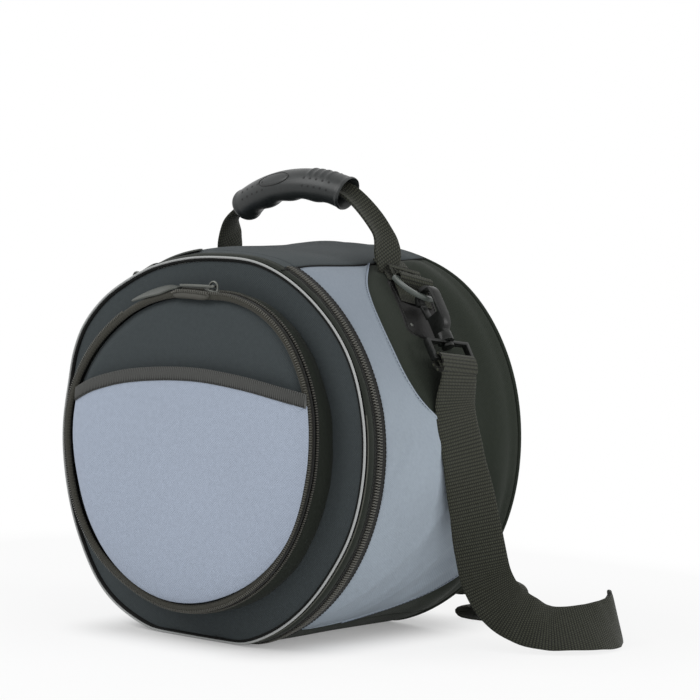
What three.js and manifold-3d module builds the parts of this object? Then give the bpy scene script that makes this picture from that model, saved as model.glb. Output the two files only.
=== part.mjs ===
// Round cooler bag: a soft drum lying on its side, with a zipped front lid,
// a zipped round pocket on the lid, a carrying handle and a shoulder strap.
// Millimetres. +Z is up, the lid faces -Y, and the origin is where the drum
// stands, at the middle of its flattened foot. Angles round the drum are
// measured from the top towards +X, which is clockwise seen from the front.

import * as THREE from 'three';
import { mergeVertices } from 'three/addons/utils/BufferGeometryUtils.js';
import Module from 'manifold-3d';

const wasm = await Module();
wasm.setup();

// Drum
const FRONT_RADIUS = 149;
const BACK_RADIUS = 154;
const FOOT_SHARE = 0.04;
const FRONT_Y = -92;
const BACK_Y = 92;
const RING_STEPS = 48;

// Walls and the clearances between layers
const SKIN = 1.4;
const LAYER_GAP = 0.4;
const SEAM_GAP = 0.5;
const BUTT_GAP = 0.3;
const FOAM = 5;
const LINER = 1;
const PIPING_RADIUS = 2.2;

// Main zip, a run all round the drum but for the hinge at the top
const GUSSET_WIDTH = 11;
const TAPE_WIDTH = 4.6;
const TAPE_THICKNESS = 1;
const COIL_WIDTH = 1.6;
const COIL_HEIGHT = 2.2;
const HINGE_HALF_ANGLE = 21;

// Panels of the side
const PANEL_TOP_ANGLE = 21;
const BASE_ANGLE = 150;
const REAR_EDGE_INSET = 4;
const BACK_CROWN = 5;

// Round pocket on the lid
const POCKET_RADIUS = 122;
const POCKET_DEPTH = 17;
const POCKET_TAPE_WIDTH = 3.4;
const POCKET_ZIP_START = -6;
const POCKET_ZIP_END = -32;
const FLAP_CROWN = 3;
const WELT_HEIGHT = 3;
const WELT_WIDTH = 6;

// Open pocket sewn on the flap
const SLIP_RADIUS = 117;
const SLIP_DEPTH = 6.8;
const SLIP_WALL = 1.4;
const SLIP_SIDE_WALL = 4;
const SLIP_CROWN_HEIGHT = 54;
const SLIP_LEFT_HEIGHT = 36;
const SLIP_RIGHT_HEIGHT = 47;
const BINDING_HEIGHT = 9;
const BINDING_THICKNESS = 1.9;

// Zip sliders and their pulls
const SLIDER_LENGTH = 13;
const SLIDER_WIDTH = 9;
const SLIDER_PLATE = 2;
const SLIDER_CLEARANCE = 0.5;
const BAIL_HEIGHT = 6;
const BAIL_WIRE = 1;
const UPPER_SLIDER_ANGLE = -36;
const LOWER_SLIDER_ANGLE = -44;
const POCKET_SLIDER_ANGLE = 9;
const PULL_WIRE = 0.9;
const PULL_CLEARANCE = 0.9;
const MAIN_PULL_LENGTH = 22;
const MAIN_PULL_SLOPE = 7.3;
const MAIN_TAB_LENGTH = 46;
const MAIN_TAB_HALF_WIDTH = 6.5;
const POCKET_PULL_LENGTH = 30;
const POCKET_PULL_SLOPE = 10.6;
const POCKET_TAB_LENGTH = 52;
const POCKET_TAB_HALF_WIDTH = 8;
const TAB_THICKNESS = 1.6;
const TAB_LIFT = -0.15;

// Webbing and handle
const WEBBING_WIDTH = 39;
const WEBBING_THICKNESS = 1.6;
const HANDLE_Y = 32;
const HANDLE_LEAN = 23;
const HANDLE_ROOT_X = 74;
const HANDLE_FOOT_LIFT = 4;
const HANDLE_PIVOT_HEIGHT = 20;
const HANDLE_ROOT_LENGTH = 15;
const GRIP_HALF_LENGTH = 57;
const GRIP_RADIUS = 15.5;
const GRIP_FLARE = 2.5;
const GRIP_BORE_RADIUS = 9.5;
const GRIP_RISE = 9;
const GRIP_HEIGHT = 66.5;
const GRIP_SKEW = 7.5;
const GRIP_SHIFT = 6;
const GRIP_CORE_SHARE = 0.5;
const GRIP_PAD_HEIGHT = 1.2;
const FINGER_GROOVES = 4;
const FINGER_GROOVE_DEPTH = 1.6;

// Strap anchors on the sides of the drum
const ANCHOR_ANGLE = 37;
const ANCHOR_Y = 30;
const ANCHOR_SLANT = 23;
const PATCH_HALF_WIDTH = 20;
const PATCH_ABOVE = 7;
const PATCH_BELOW = 53;
const PATCH_CORNER = 7;
const PATCH_THICKNESS = 1.6;
const LOOP_HALF_WIDTH = 15;
const LOOP_TAIL = 16;
const LOOP_WALL = 1.6;
const RING_HALF_WIDTH = 19.5;
const RING_LENGTH = 30;
const RING_BAR = 4;
const RING_THICKNESS = 3.6;
const RING_CLEARANCE = 0.3;
const EYE_PLAY = 3.9;
const HOOK_CLEARANCE = 2.8;

// Swivel snap hook
const HOOK_SLANT = 8;
const HOOK_MIDDLE = 22;
const HOOK_THICKNESS = 8;
const EYE_RADIUS = 6.5;
const HOOK_WALL = 3.5;
const SHANK_LENGTH = 38;
const STEM_RADIUS = 3;
const STEM_LENGTH = 12;
const STEM_HEAD_RADIUS = 5;
const STEM_CLEARANCE = 0.35;
const COLLAR_RADIUS = 6.6;
const COLLAR_LENGTH = 7;
const FRAME_WIDTH = 47;
const FRAME_HEIGHT = 17;
const FRAME_THICKNESS = 4.6;
const FRAME_BAR = 3.4;
const GATE_THICKNESS = 2.4;

// Shoulder strap
const STRAP_JOIN = 0.0004;

const colours = {
  blackFabric: 0x2f3436,
  blueFabric: 0x8790a3,
  piping: 0xa9adaf,
  binding: 0x232524,
  zip: 0x262724,
  webbing: 0x2b2d28,
  leather: 0x1d1c1a,
  grip: 0x4a5356,
  plastic: 0x1f2220,
  ringPlastic: 0x7f8683,
  foam: 0xe6e4dc,
  liner: 0xc9ced2,
  metal: 0x9a9d9e,
};

const finishes = {
  fabric: { roughness: 0.9, metalness: 0 },
  plastic: { roughness: 0.35, metalness: 0 },
  soft: { roughness: 0.75, metalness: 0 },
  metal: { roughness: 0.3, metalness: 1 },
};

function radians(degrees) {
  return THREE.MathUtils.degToRad(degrees);
}

function mix(from, to, share) {
  return from + (to - from) * share;
}

// Positions only, shared corners merged, no collapsed triangles, faces outwards.
function closedBody(source) {
  const plain = new THREE.BufferGeometry();
  plain.setAttribute('position', source.getAttribute('position').clone());
  if (source.index) plain.setIndex(source.index.clone());
  const merged = mergeVertices(plain, 1e-4);
  const corners = merged.getAttribute('position');
  const index = merged.getIndex().array;
  const kept = [];
  let volume = 0;
  const a = new THREE.Vector3();
  const b = new THREE.Vector3();
  const c = new THREE.Vector3();
  for (let i = 0; i < index.length; i += 3) {
    const [p, q, r] = [index[i], index[i + 1], index[i + 2]];
    if (p === q || q === r || p === r) continue;
    kept.push(p, q, r);
    a.fromBufferAttribute(corners, p);
    b.fromBufferAttribute(corners, q);
    c.fromBufferAttribute(corners, r);
    volume += a.dot(b.cross(c));
  }
  if (volume < 0) {
    for (let i = 0; i < kept.length; i += 3) {
      [kept[i + 1], kept[i + 2]] = [kept[i + 2], kept[i + 1]];
    }
  }
  const result = new THREE.BufferGeometry();
  result.setAttribute('position', corners);
  result.setIndex(kept);
  result.computeVertexNormals();
  return result;
}

// A block whose corners are carried to place(u, v, w), each of them 0 to 1.
function mappedBlock(stepsU, stepsV, stepsW, place) {
  const block = new THREE.BoxGeometry(1, 1, 1, stepsU, stepsV, stepsW);
  const corners = block.getAttribute('position');
  for (let i = 0; i < corners.count; i += 1) {
    const spot = place(corners.getX(i) + 0.5, corners.getY(i) + 0.5, corners.getZ(i) + 0.5);
    corners.setXYZ(i, spot.x, spot.y, spot.z);
  }
  return closedBody(block);
}

// A turned shape about the Y axis whose corners are carried to place(radius, y, angle).
function mappedLathe(profile, steps, place) {
  const lathe = new THREE.LatheGeometry(profile, steps);
  const corners = lathe.getAttribute('position');
  for (let i = 0; i < corners.count; i += 1) {
    const x = corners.getX(i);
    const z = corners.getZ(i);
    const spot = place(Math.hypot(x, z), corners.getY(i), Math.atan2(x, z));
    corners.setXYZ(i, spot.x, spot.y, spot.z);
  }
  return closedBody(lathe);
}

function points(...pairs) {
  return pairs.map(([x, y]) => new THREE.Vector2(x, y));
}

function toSolid(geometry) {
  const body = closedBody(geometry);
  return new wasm.Manifold(new wasm.Mesh({
    numProp: 3,
    vertProperties: Float32Array.from(body.getAttribute('position').array),
    triVerts: Uint32Array.from(body.getIndex().array),
  }));
}

function fromSolid(solid) {
  const mesh = solid.getMesh();
  const geometry = new THREE.BufferGeometry();
  geometry.setAttribute('position', new THREE.BufferAttribute(mesh.vertProperties, 3));
  geometry.setIndex(new THREE.BufferAttribute(mesh.triVerts, 1));
  return closedBody(geometry);
}

function joined(first, ...others) {
  return fromSolid(others.reduce((sum, next) => sum.add(toSolid(next)), toSolid(first)));
}

function cutFrom(first, ...tools) {
  return fromSolid(tools.reduce((rest, tool) => rest.subtract(toSolid(tool)), toSolid(first)));
}

function mirrored(geometry) {
  const copy = geometry.clone();
  copy.scale(-1, 1, 1);
  return closedBody(copy);
}

function piece(name, geometry, colour, finish) {
  const material = new THREE.MeshStandardMaterial({ color: colour, ...finish });
  const mesh = new THREE.Mesh(geometry, material);
  mesh.name = name;
  return mesh;
}

// A smooth function through a few chosen points, with the slopes of a Catmull-Rom curve.
function smoothThrough(knots, x) {
  const last = knots.length - 1;
  let i = 0;
  while (i < last - 1 && x > knots[i + 1][0]) i += 1;
  const slope = (k) => {
    const before = knots[Math.max(k - 1, 0)];
    const after = knots[Math.min(k + 1, last)];
    return (after[1] - before[1]) / (after[0] - before[0]);
  };
  const [x0, y0] = knots[i];
  const [x1, y1] = knots[i + 1];
  const span = x1 - x0;
  const t = Math.min(Math.max((x - x0) / span, 0), 1);
  const s = 1 - t;
  return y0 * s * s * (1 + 2 * t) + y1 * t * t * (3 - 2 * t)
    + span * t * s * (slope(i) * s - slope(i + 1) * t);
}

// The drum's skin
const drumLength = BACK_Y - FRONT_Y;

function drumRadius(y) {
  return mix(FRONT_RADIUS, BACK_RADIUS, (y - FRONT_Y) / drumLength);
}

function axisHeight(y) {
  return drumRadius(y) * (1 - FOOT_SHARE);
}

// A point at an angle round the drum, at a depth under its outer skin.
// The foot of the drum is flat where it stands.
function onDrum(angle, y, depth) {
  const radius = drumRadius(y) - depth;
  const z = axisHeight(y) + radius * Math.cos(angle);
  return new THREE.Vector3(radius * Math.sin(angle), y, Math.max(z, depth, 0));
}

function drumSheet(fromAngle, toAngle, steps, frontY, rearY, outer, inner) {
  return mappedBlock(steps, 1, 1, (u, v, w) => {
    const angle = radians(mix(fromAngle, toAngle, u));
    const y = mix(frontY(mix(fromAngle, toAngle, u)), rearY(mix(fromAngle, toAngle, u)), v);
    return onDrum(angle, y, mix(outer, inner, w));
  });
}

// A turned layer of the drum: each profile point is its depth under the skin and its y.
function drumRing(profile) {
  const turned = profile.map(([depth, y]) => new THREE.Vector2(drumRadius(y) - depth, y));
  return mappedLathe(turned, RING_STEPS, (radius, y, angle) => onDrum(angle, y, drumRadius(y) - radius));
}

// A zip tape with its row of coils along one edge, from one angle to another.
function zipTape(fromAngle, toAngle, tapeY, coilY, place) {
  const side = Math.sign(coilY - tapeY);
  const edge = coilY - side * COIL_WIDTH;
  const stations = [tapeY, edge, edge + side * 0.1, coilY];
  return mappedBlock(RING_STEPS - 6, 3, 1, (u, v, w) => {
    const station = Math.round(v * 3);
    const height = station > 1 ? COIL_HEIGHT : TAPE_THICKNESS;
    const sink = station > 1 ? (COIL_HEIGHT - TAPE_THICKNESS) / 2 : 0;
    return place(radians(mix(fromAngle, toAngle, u)), stations[station], mix(-sink, height - sink, w));
  });
}

const body = new THREE.Group();
const lid = new THREE.Group();
const flap = new THREE.Group();

// Where the layers of the drum lie
const gussetRearY = FRONT_Y + GUSSET_WIDTH;
const zipY = gussetRearY + BUTT_GAP + TAPE_WIDTH;
const bodyTapeFrontY = zipY + BUTT_GAP;
const panelFrontY = bodyTapeFrontY + TAPE_WIDTH + BUTT_GAP;
const panelRearY = BACK_Y - REAR_EDGE_INSET;
const foamDepth = SKIN + LAYER_GAP;
const linerDepth = foamDepth + FOAM + LAYER_GAP;
const buttAngle = THREE.MathUtils.radToDeg(BUTT_GAP / FRONT_RADIUS) / 2;

// The seam between the coloured side panel and the black rear panel, as the
// distance behind the front edge at each angle: an hourglass seen from the side.
const waistSeam = [
  [21, 0.663], [37, 0.375], [54, 0.283], [71, 0.397], [90, 0.696], [118, 0.897],
  [135, 0.772], [145, 0.467], [150, 0.147],
];

function seamY(angle) {
  return FRONT_Y + drumLength * smoothThrough(waistSeam, angle);
}

function addSidePanels(name, mirror) {
  const from = PANEL_TOP_ANGLE + buttAngle;
  const to = BASE_ANGLE - buttAngle;
  const front = drumSheet(from, to, 30, () => panelFrontY, (angle) => seamY(angle) - SEAM_GAP / 2, 0, SKIN);
  const rear = drumSheet(from, to, 30, (angle) => seamY(angle) + SEAM_GAP / 2, () => panelRearY, 0, SKIN);
  body.add(piece(`side_panel_${name}`, mirror(front), colours.blueFabric, finishes.fabric));
  body.add(piece(`rear_side_panel_${name}`, mirror(rear), colours.blackFabric, finishes.fabric));
}

addSidePanels('right', (shape) => shape);
addSidePanels('left', mirrored);

const topPanel = drumSheet(
  -PANEL_TOP_ANGLE + buttAngle, PANEL_TOP_ANGLE - buttAngle, 8,
  () => panelFrontY, () => panelRearY, 0, SKIN,
);
body.add(piece('top_panel', topPanel, colours.blackFabric, finishes.fabric));

const basePanel = drumSheet(
  BASE_ANGLE + buttAngle, 360 - BASE_ANGLE - buttAngle, 8,
  () => panelFrontY, () => panelRearY, 0, SKIN,
);
body.add(piece('base_panel', basePanel, colours.blackFabric, finishes.fabric));

const foamFrontY = panelFrontY;
const foamRearY = panelRearY - FOAM - BUTT_GAP;
const foamSleeve = drumRing([
  [foamDepth, foamFrontY], [foamDepth, foamRearY],
  [foamDepth + FOAM, foamRearY], [foamDepth + FOAM, foamFrontY], [foamDepth, foamFrontY],
]);
body.add(piece('foam_sleeve', foamSleeve, colours.foam, finishes.soft));

const backFoam = drumRing([
  [drumRadius(foamRearY + BUTT_GAP), foamRearY + BUTT_GAP],
  [foamDepth, foamRearY + BUTT_GAP], [foamDepth, panelRearY], [drumRadius(panelRearY), panelRearY],
]);
body.add(piece('back_foam_disc', backFoam, colours.foam, finishes.soft));

const linerBackY = foamRearY - BUTT_GAP;
const liner = drumRing([
  [drumRadius(linerBackY), linerBackY], [linerDepth, linerBackY], [linerDepth, foamFrontY],
  [linerDepth + LINER, foamFrontY], [linerDepth + LINER, linerBackY - LINER],
  [drumRadius(linerBackY - LINER), linerBackY - LINER],
]);
body.add(piece('liner_tub', liner, colours.liner, finishes.soft));

// The back: a crowned round panel inside a ring of piping
const backPanelY = panelRearY + BUTT_GAP;
const pipingDepth = PIPING_RADIUS - 1;
const backPanelEdge = pipingDepth + PIPING_RADIUS + BUTT_GAP;

function crownedPanel(edgeRadius, rimY, thickness, crown, facing) {
  const profile = [];
  const rings = 4;
  for (let i = 0; i <= rings; i += 1) {
    const share = i / rings;
    profile.push([edgeRadius * share, rimY + facing * (thickness + crown * (1 - share * share))]);
  }
  profile.push([edgeRadius, rimY], [0, rimY]);
  return profile;
}

const backPanel = drumRing(
  crownedPanel(drumRadius(backPanelY) - backPanelEdge, backPanelY, SKIN, BACK_CROWN, 1)
    .map(([radius, y]) => [drumRadius(y) - radius, y]),
);
body.add(piece('back_panel', backPanel, colours.blackFabric, finishes.fabric));

function pipingRing(centreDepth, centreY, radius) {
  const profile = [];
  const sides = 6;
  for (let i = 0; i <= sides; i += 1) {
    const turn = (2 * Math.PI * (i + 0.5)) / sides;
    profile.push([centreDepth + radius * Math.cos(turn), centreY + radius * Math.sin(turn)]);
  }
  return drumRing(profile);
}

const backPipingY = panelRearY + BUTT_GAP + PIPING_RADIUS;
const backPiping = pipingRing(pipingDepth, backPipingY, PIPING_RADIUS);
body.add(piece('back_piping', backPiping, colours.binding, finishes.fabric));

const bodyTape = zipTape(
  HINGE_HALF_ANGLE + buttAngle, 360 - HINGE_HALF_ANGLE - buttAngle,
  bodyTapeFrontY + TAPE_WIDTH, bodyTapeFrontY, onDrum,
);
body.add(piece('main_zip_body_tape', bodyTape, colours.zip, finishes.fabric));

// Lid
const lidGusset = drumRing([
  [0, FRONT_Y + PIPING_RADIUS + BUTT_GAP], [0, gussetRearY], [SKIN, gussetRearY],
  [SKIN, FRONT_Y + PIPING_RADIUS + BUTT_GAP], [0, FRONT_Y + PIPING_RADIUS + BUTT_GAP],
]);
lid.add(piece('lid_gusset', lidGusset, colours.blackFabric, finishes.fabric));
const lidPiping = pipingRing(pipingDepth, FRONT_Y, PIPING_RADIUS);
lid.add(piece('lid_piping', lidPiping, colours.piping, finishes.fabric));

const lidPanelRadius = FRONT_RADIUS - pipingDepth - PIPING_RADIUS - BUTT_GAP;
const lidCentreZ = axisHeight(FRONT_Y);

function flatDisc(radius, frontY, rearY) {
  const profile = points([0, frontY], [radius, frontY], [radius, rearY], [0, rearY]);
  return mappedLathe(profile, RING_STEPS, (r, y, angle) => new THREE.Vector3(
    r * Math.sin(angle), y, Math.max(lidCentreZ + r * Math.cos(angle), FRONT_RADIUS - radius),
  ));
}

const lidPanel = flatDisc(lidPanelRadius, FRONT_Y, FRONT_Y + SKIN);
lid.add(piece('lid_front_panel', lidPanel, colours.blackFabric, finishes.fabric));

const lidFoamY = FRONT_Y + SKIN + LAYER_GAP;
const lidFoamRadius = FRONT_RADIUS - pipingDepth - PIPING_RADIUS - LAYER_GAP;
const lidFoam = flatDisc(lidFoamRadius, lidFoamY, lidFoamY + FOAM);
lid.add(piece('lid_foam_disc', lidFoam, colours.foam, finishes.soft));

const lidLinerY = lidFoamY + FOAM + LAYER_GAP;
const lidLiner = flatDisc(lidFoamRadius, lidLinerY, lidLinerY + LINER);
lid.add(piece('lid_liner_disc', lidLiner, colours.liner, finishes.soft));

const lidTape = zipTape(
  HINGE_HALF_ANGLE + buttAngle, 360 - HINGE_HALF_ANGLE - buttAngle,
  gussetRearY + BUTT_GAP, zipY, onDrum,
);
lid.add(piece('main_zip_lid_tape', lidTape, colours.zip, finishes.fabric));

const hingeStrip = drumSheet(
  -HINGE_HALF_ANGLE + buttAngle, HINGE_HALF_ANGLE - buttAngle, 8,
  () => gussetRearY + BUTT_GAP, () => panelFrontY - BUTT_GAP, 0, SKIN,
);
lid.add(piece('lid_hinge_strip', hingeStrip, colours.blackFabric, finishes.fabric));

// Pocket: a gusset wall standing on the lid, closed by a zipped flap
const pocketBaseY = FRONT_Y - BUTT_GAP;
const pocketTapeY = pocketBaseY - POCKET_DEPTH;
const pocketZipY = pocketTapeY - BUTT_GAP - POCKET_TAPE_WIDTH;
const flapTapeY = pocketZipY - BUTT_GAP - POCKET_TAPE_WIDTH;

// A point round the pocket, at a depth under its outer wall.
function onPocket(angle, y, depth) {
  const radius = POCKET_RADIUS - depth;
  return new THREE.Vector3(radius * Math.sin(angle), y, lidCentreZ + radius * Math.cos(angle));
}

function pocketRing(profile) {
  const turned = profile.map(([depth, y]) => new THREE.Vector2(POCKET_RADIUS - depth, y));
  return mappedLathe(turned, RING_STEPS, (radius, y, angle) => onPocket(angle, y, POCKET_RADIUS - radius));
}

const pocketWall = pocketRing([
  [0, pocketTapeY], [0, pocketBaseY], [SKIN, pocketBaseY], [SKIN, pocketTapeY], [0, pocketTapeY],
]);
lid.add(piece('pocket_gusset', pocketWall, colours.blackFabric, finishes.fabric));

const zipStart = POCKET_ZIP_START + buttAngle;
const zipStop = POCKET_ZIP_END + 360 - buttAngle;
const pocketLidTape = zipTape(zipStart, zipStop, pocketTapeY - BUTT_GAP, pocketZipY, onPocket);
lid.add(piece('pocket_zip_lid_tape', pocketLidTape, colours.zip, finishes.fabric));

const pocketFlapTape = zipTape(zipStart, zipStop, flapTapeY, pocketZipY - BUTT_GAP, onPocket);
flap.add(piece('pocket_zip_flap_tape', pocketFlapTape, colours.zip, finishes.fabric));

const pocketHinge = mappedBlock(6, 1, 1, (u, v, w) => onPocket(
  radians(mix(POCKET_ZIP_END + buttAngle, POCKET_ZIP_START - buttAngle, u)),
  mix(pocketTapeY - BUTT_GAP, flapTapeY, v), mix(0, SKIN, w),
));
lid.add(piece('pocket_hinge_strip', pocketHinge, colours.blackFabric, finishes.fabric));

// The flap: a rounded welt round its rim and a crowned face inside it
const flapFaceY = flapTapeY - BUTT_GAP;
const flapWelt = pocketRing([
  [0, flapFaceY], [WELT_WIDTH * 0.13, flapFaceY - WELT_HEIGHT * 0.73],
  [WELT_WIDTH * 0.66, flapFaceY - WELT_HEIGHT], [WELT_WIDTH, flapFaceY - WELT_HEIGHT * 0.53],
  [WELT_WIDTH * 0.83, flapFaceY], [0, flapFaceY],
]);
flap.add(piece('flap_welt', flapWelt, colours.blackFabric, finishes.fabric));

const flapPanelRadius = POCKET_RADIUS - WELT_WIDTH - BUTT_GAP;
const flapPanel = pocketRing(
  crownedPanel(flapPanelRadius, flapFaceY, SKIN, FLAP_CROWN, -1)
    .map(([radius, y]) => [POCKET_RADIUS - radius, y]),
);
flap.add(piece('flap_panel', flapPanel, colours.blackFabric, finishes.fabric));

// Open pocket on the flap: a front wall with side walls, open along its arched top
const slipBackY = flapFaceY - SKIN - FLAP_CROWN - BUTT_GAP;
const slipFrontY = slipBackY - SLIP_DEPTH;
const slipRimY = flapFaceY - WELT_HEIGHT - BUTT_GAP;
const slipLeftX = -Math.sqrt(SLIP_RADIUS ** 2 - SLIP_LEFT_HEIGHT ** 2);
const slipRightX = Math.sqrt(SLIP_RADIUS ** 2 - SLIP_RIGHT_HEIGHT ** 2);

// Height of the arched top over the pocket's centre, from its left end to its right end
function archHeight(x) {
  const share = (x - slipLeftX) / (slipRightX - slipLeftX);
  const bow = SLIP_CROWN_HEIGHT - (SLIP_LEFT_HEIGHT + SLIP_RIGHT_HEIGHT) / 2;
  return mix(SLIP_LEFT_HEIGHT, SLIP_RIGHT_HEIGHT, share) + 4 * bow * share * (1 - share);
}

// A circle round the pocket's centre, cut off by the arch raised by a lift
function slipOutline(radius, lift) {
  const outline = new THREE.Shape();
  const left = Math.PI - Math.asin((SLIP_LEFT_HEIGHT + lift) / radius);
  const right = Math.asin((SLIP_RIGHT_HEIGHT + lift) / radius);
  outline.absarc(0, 0, radius, left, right + 2 * Math.PI, false);
  const steps = 16;
  for (let i = steps - 1; i > 0; i -= 1) {
    const x = mix(radius * Math.cos(left), radius * Math.cos(right), i / steps);
    outline.lineTo(x, archHeight(x) + lift);
  }
  outline.closePath();
  return outline;
}

function standingPlate(shape, frontY, rearY, curveSegments) {
  const plate = new THREE.ExtrudeGeometry(shape, {
    depth: rearY - frontY, bevelEnabled: false, curveSegments,
  });
  plate.rotateX(Math.PI / 2);
  plate.translate(0, rearY, lidCentreZ);
  return plate;
}

const slipOuter = standingPlate(
  slipOutline(SLIP_RADIUS, 0), slipFrontY, slipRimY, 28,
);
const slipInner = standingPlate(
  slipOutline(SLIP_RADIUS - SLIP_SIDE_WALL, 20),
  slipFrontY + SLIP_WALL, slipRimY + 1, 28,
);
flap.add(piece('slip_pocket', cutFrom(slipOuter, slipInner), colours.blueFabric, finishes.fabric));

const binding = mappedBlock(20, 2, 1, (u, v, w) => {
  const x = mix(slipLeftX, slipRightX, u) * 0.99;
  const bulge = Math.round(v * 2) === 1 ? 0.5 : 0;
  const z = lidCentreZ + archHeight(x) + BUTT_GAP + BINDING_HEIGHT * v;
  return new THREE.Vector3(x, mix(slipFrontY - bulge, slipFrontY + BINDING_THICKNESS, w), z);
});
flap.add(piece('slip_pocket_binding', binding, colours.binding, finishes.fabric));

// Zip slider, with X along the zip and Z outwards: a plate that narrows to its nose,
// under an arched bail that the pull hangs from.
function sliderBody() {
  const outline = new THREE.Shape();
  const half = SLIDER_WIDTH / 2;
  outline.moveTo(-SLIDER_LENGTH / 2, -half * 0.6);
  outline.lineTo(SLIDER_LENGTH * 0.1, -half);
  outline.quadraticCurveTo(SLIDER_LENGTH / 2, -half, SLIDER_LENGTH / 2, 0);
  outline.quadraticCurveTo(SLIDER_LENGTH / 2, half, SLIDER_LENGTH * 0.1, half);
  outline.lineTo(-SLIDER_LENGTH / 2, half * 0.6);
  outline.closePath();
  const plate = new THREE.ExtrudeGeometry(outline, {
    depth: SLIDER_PLATE, bevelEnabled: false, curveSegments: 4,
  });
  const reach = SLIDER_LENGTH * 0.32;
  const arch = new THREE.CatmullRomCurve3([
    new THREE.Vector3(-reach, 0, SLIDER_PLATE / 2),
    new THREE.Vector3(-reach * 0.8, 0, SLIDER_PLATE + BAIL_HEIGHT * 0.7),
    new THREE.Vector3(0, 0, SLIDER_PLATE + BAIL_HEIGHT),
    new THREE.Vector3(reach * 0.8, 0, SLIDER_PLATE + BAIL_HEIGHT * 0.7),
    new THREE.Vector3(reach, 0, SLIDER_PLATE / 2),
  ]);
  const bail = new THREE.ExtrudeGeometry(roundSection(BAIL_WIRE, 6), { steps: 10, extrudePath: arch });
  return joined(plate, bail);
}

function roundSection(radius, sides) {
  const section = new THREE.Shape();
  for (let i = 0; i <= sides; i += 1) {
    const turn = (2 * Math.PI * i) / sides;
    const x = radius * Math.cos(turn);
    const y = radius * Math.sin(turn);
    if (i === 0) section.moveTo(x, y);
    else if (i < sides) section.lineTo(x, y);
  }
  section.closePath();
  return section;
}

// The pull's rod: a long wire loop that passes under the bail, lying towards -X and
// sloping down to the tab at its far end
function pullRod(length, slope) {
  const inner = new THREE.Path();
  const outer = new THREE.Shape();
  const halfWidth = 2.6;
  const wire = 2 * PULL_WIRE;
  const start = SLIDER_LENGTH * 0.32 - BAIL_WIRE - PULL_CLEARANCE;
  outer.absarc(start - halfWidth - wire, 0, halfWidth + wire, -Math.PI / 2, Math.PI / 2, false);
  outer.absarc(start - length, 0, halfWidth + wire, Math.PI / 2, (3 * Math.PI) / 2, false);
  outer.closePath();
  inner.absarc(start - halfWidth - wire, 0, halfWidth, -Math.PI / 2, Math.PI / 2, false);
  inner.absarc(start - length, 0, halfWidth, Math.PI / 2, (3 * Math.PI) / 2, false);
  inner.closePath();
  outer.holes.push(inner);
  const rod = new THREE.ExtrudeGeometry(outer, { depth: wire, bevelEnabled: false, curveSegments: 5 });
  rod.translate(-start, 0, 0);
  rod.rotateY(-slope);
  rod.translate(start, 0, SLIDER_PLATE + BUTT_GAP + (start + SLIDER_LENGTH / 2) * Math.sin(slope));
  return closedBody(rod);
}

// A leaf-shaped tab that follows a curve of the given radius under it
function pullTab(startX, length, halfWidth, surfaceRadius, lift) {
  return mappedBlock(8, 2, 1, (u, v, w) => {
    const along = startX - length * u;
    const taper = Math.sqrt(Math.max(1 - (2 * u - 0.9) ** 2 / 1.32, 0.04));
    const turn = along / surfaceRadius;
    const radius = surfaceRadius + lift + TAB_THICKNESS * w;
    return new THREE.Vector3(
      radius * Math.sin(turn), mix(-halfWidth, halfWidth, v) * taper,
      radius * Math.cos(turn) - surfaceRadius,
    );
  });
}

function addSlider(parent, names, place, pull) {
  const turn = new THREE.Group();
  turn.position.set(0, 0, place.centreZ);
  turn.rotation.y = radians(place.angle);
  const seat = new THREE.Group();
  seat.position.set(0, place.y, place.radius + SLIDER_CLEARANCE + (COIL_HEIGHT - TAPE_THICKNESS) / 2);
  seat.add(piece(names.slider, sliderBody(), colours.metal, finishes.metal));
  const swing = new THREE.Group();
  swing.rotation.z = radians(pull.turn);
  swing.add(piece(names.rod, pullRod(pull.rodLength, radians(pull.slope)), colours.metal, finishes.metal));
  const tabStart = SLIDER_LENGTH * 0.32 - pull.rodLength - 5;
  const tab = pullTab(tabStart, pull.tabLength, pull.tabHalfWidth, place.radius, TAB_LIFT);
  swing.add(piece(names.tab, tab, colours.leather, finishes.fabric));
  seat.add(swing);
  turn.add(seat);
  parent.add(turn);
}

const mainZipPlace = {
  centreZ: axisHeight(zipY), y: zipY + BUTT_GAP / 2, radius: drumRadius(zipY),
};
const mainPull = {
  rodLength: MAIN_PULL_LENGTH, slope: MAIN_PULL_SLOPE,
  tabLength: MAIN_TAB_LENGTH, tabHalfWidth: MAIN_TAB_HALF_WIDTH,
};
addSlider(
  body, { slider: 'upper_slider', rod: 'upper_pull_rod', tab: 'upper_pull_tab' },
  { ...mainZipPlace, angle: UPPER_SLIDER_ANGLE }, { ...mainPull, turn: 180 },
);
addSlider(
  body, { slider: 'lower_slider', rod: 'lower_pull_rod', tab: 'lower_pull_tab' },
  { ...mainZipPlace, angle: LOWER_SLIDER_ANGLE }, { ...mainPull, turn: 0 },
);
addSlider(
  lid, { slider: 'pocket_slider', rod: 'pocket_pull_rod', tab: 'pocket_pull_tab' },
  {
    centreZ: lidCentreZ, y: pocketZipY - BUTT_GAP / 2, radius: POCKET_RADIUS, angle: POCKET_SLIDER_ANGLE,
  },
  {
    rodLength: POCKET_PULL_LENGTH, slope: POCKET_PULL_SLOPE,
    tabLength: POCKET_TAB_LENGTH, tabHalfWidth: POCKET_TAB_HALF_WIDTH, turn: 0,
  },
);

// Handle: webbing that rises from both sides and runs through a moulded grip.
// Built upright with its roots at height 0, then set on the drum and leant forwards.
const handle = new THREE.Group();
const rootAngle = Math.asin(HANDLE_ROOT_X / drumRadius(HANDLE_Y));
const rootHeight = onDrum(rootAngle, HANDLE_Y, 0).z;

function gripCentre(x) {
  const share = x / GRIP_HALF_LENGTH;
  return GRIP_HEIGHT - GRIP_RISE * share * share + GRIP_SKEW * share;
}

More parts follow.
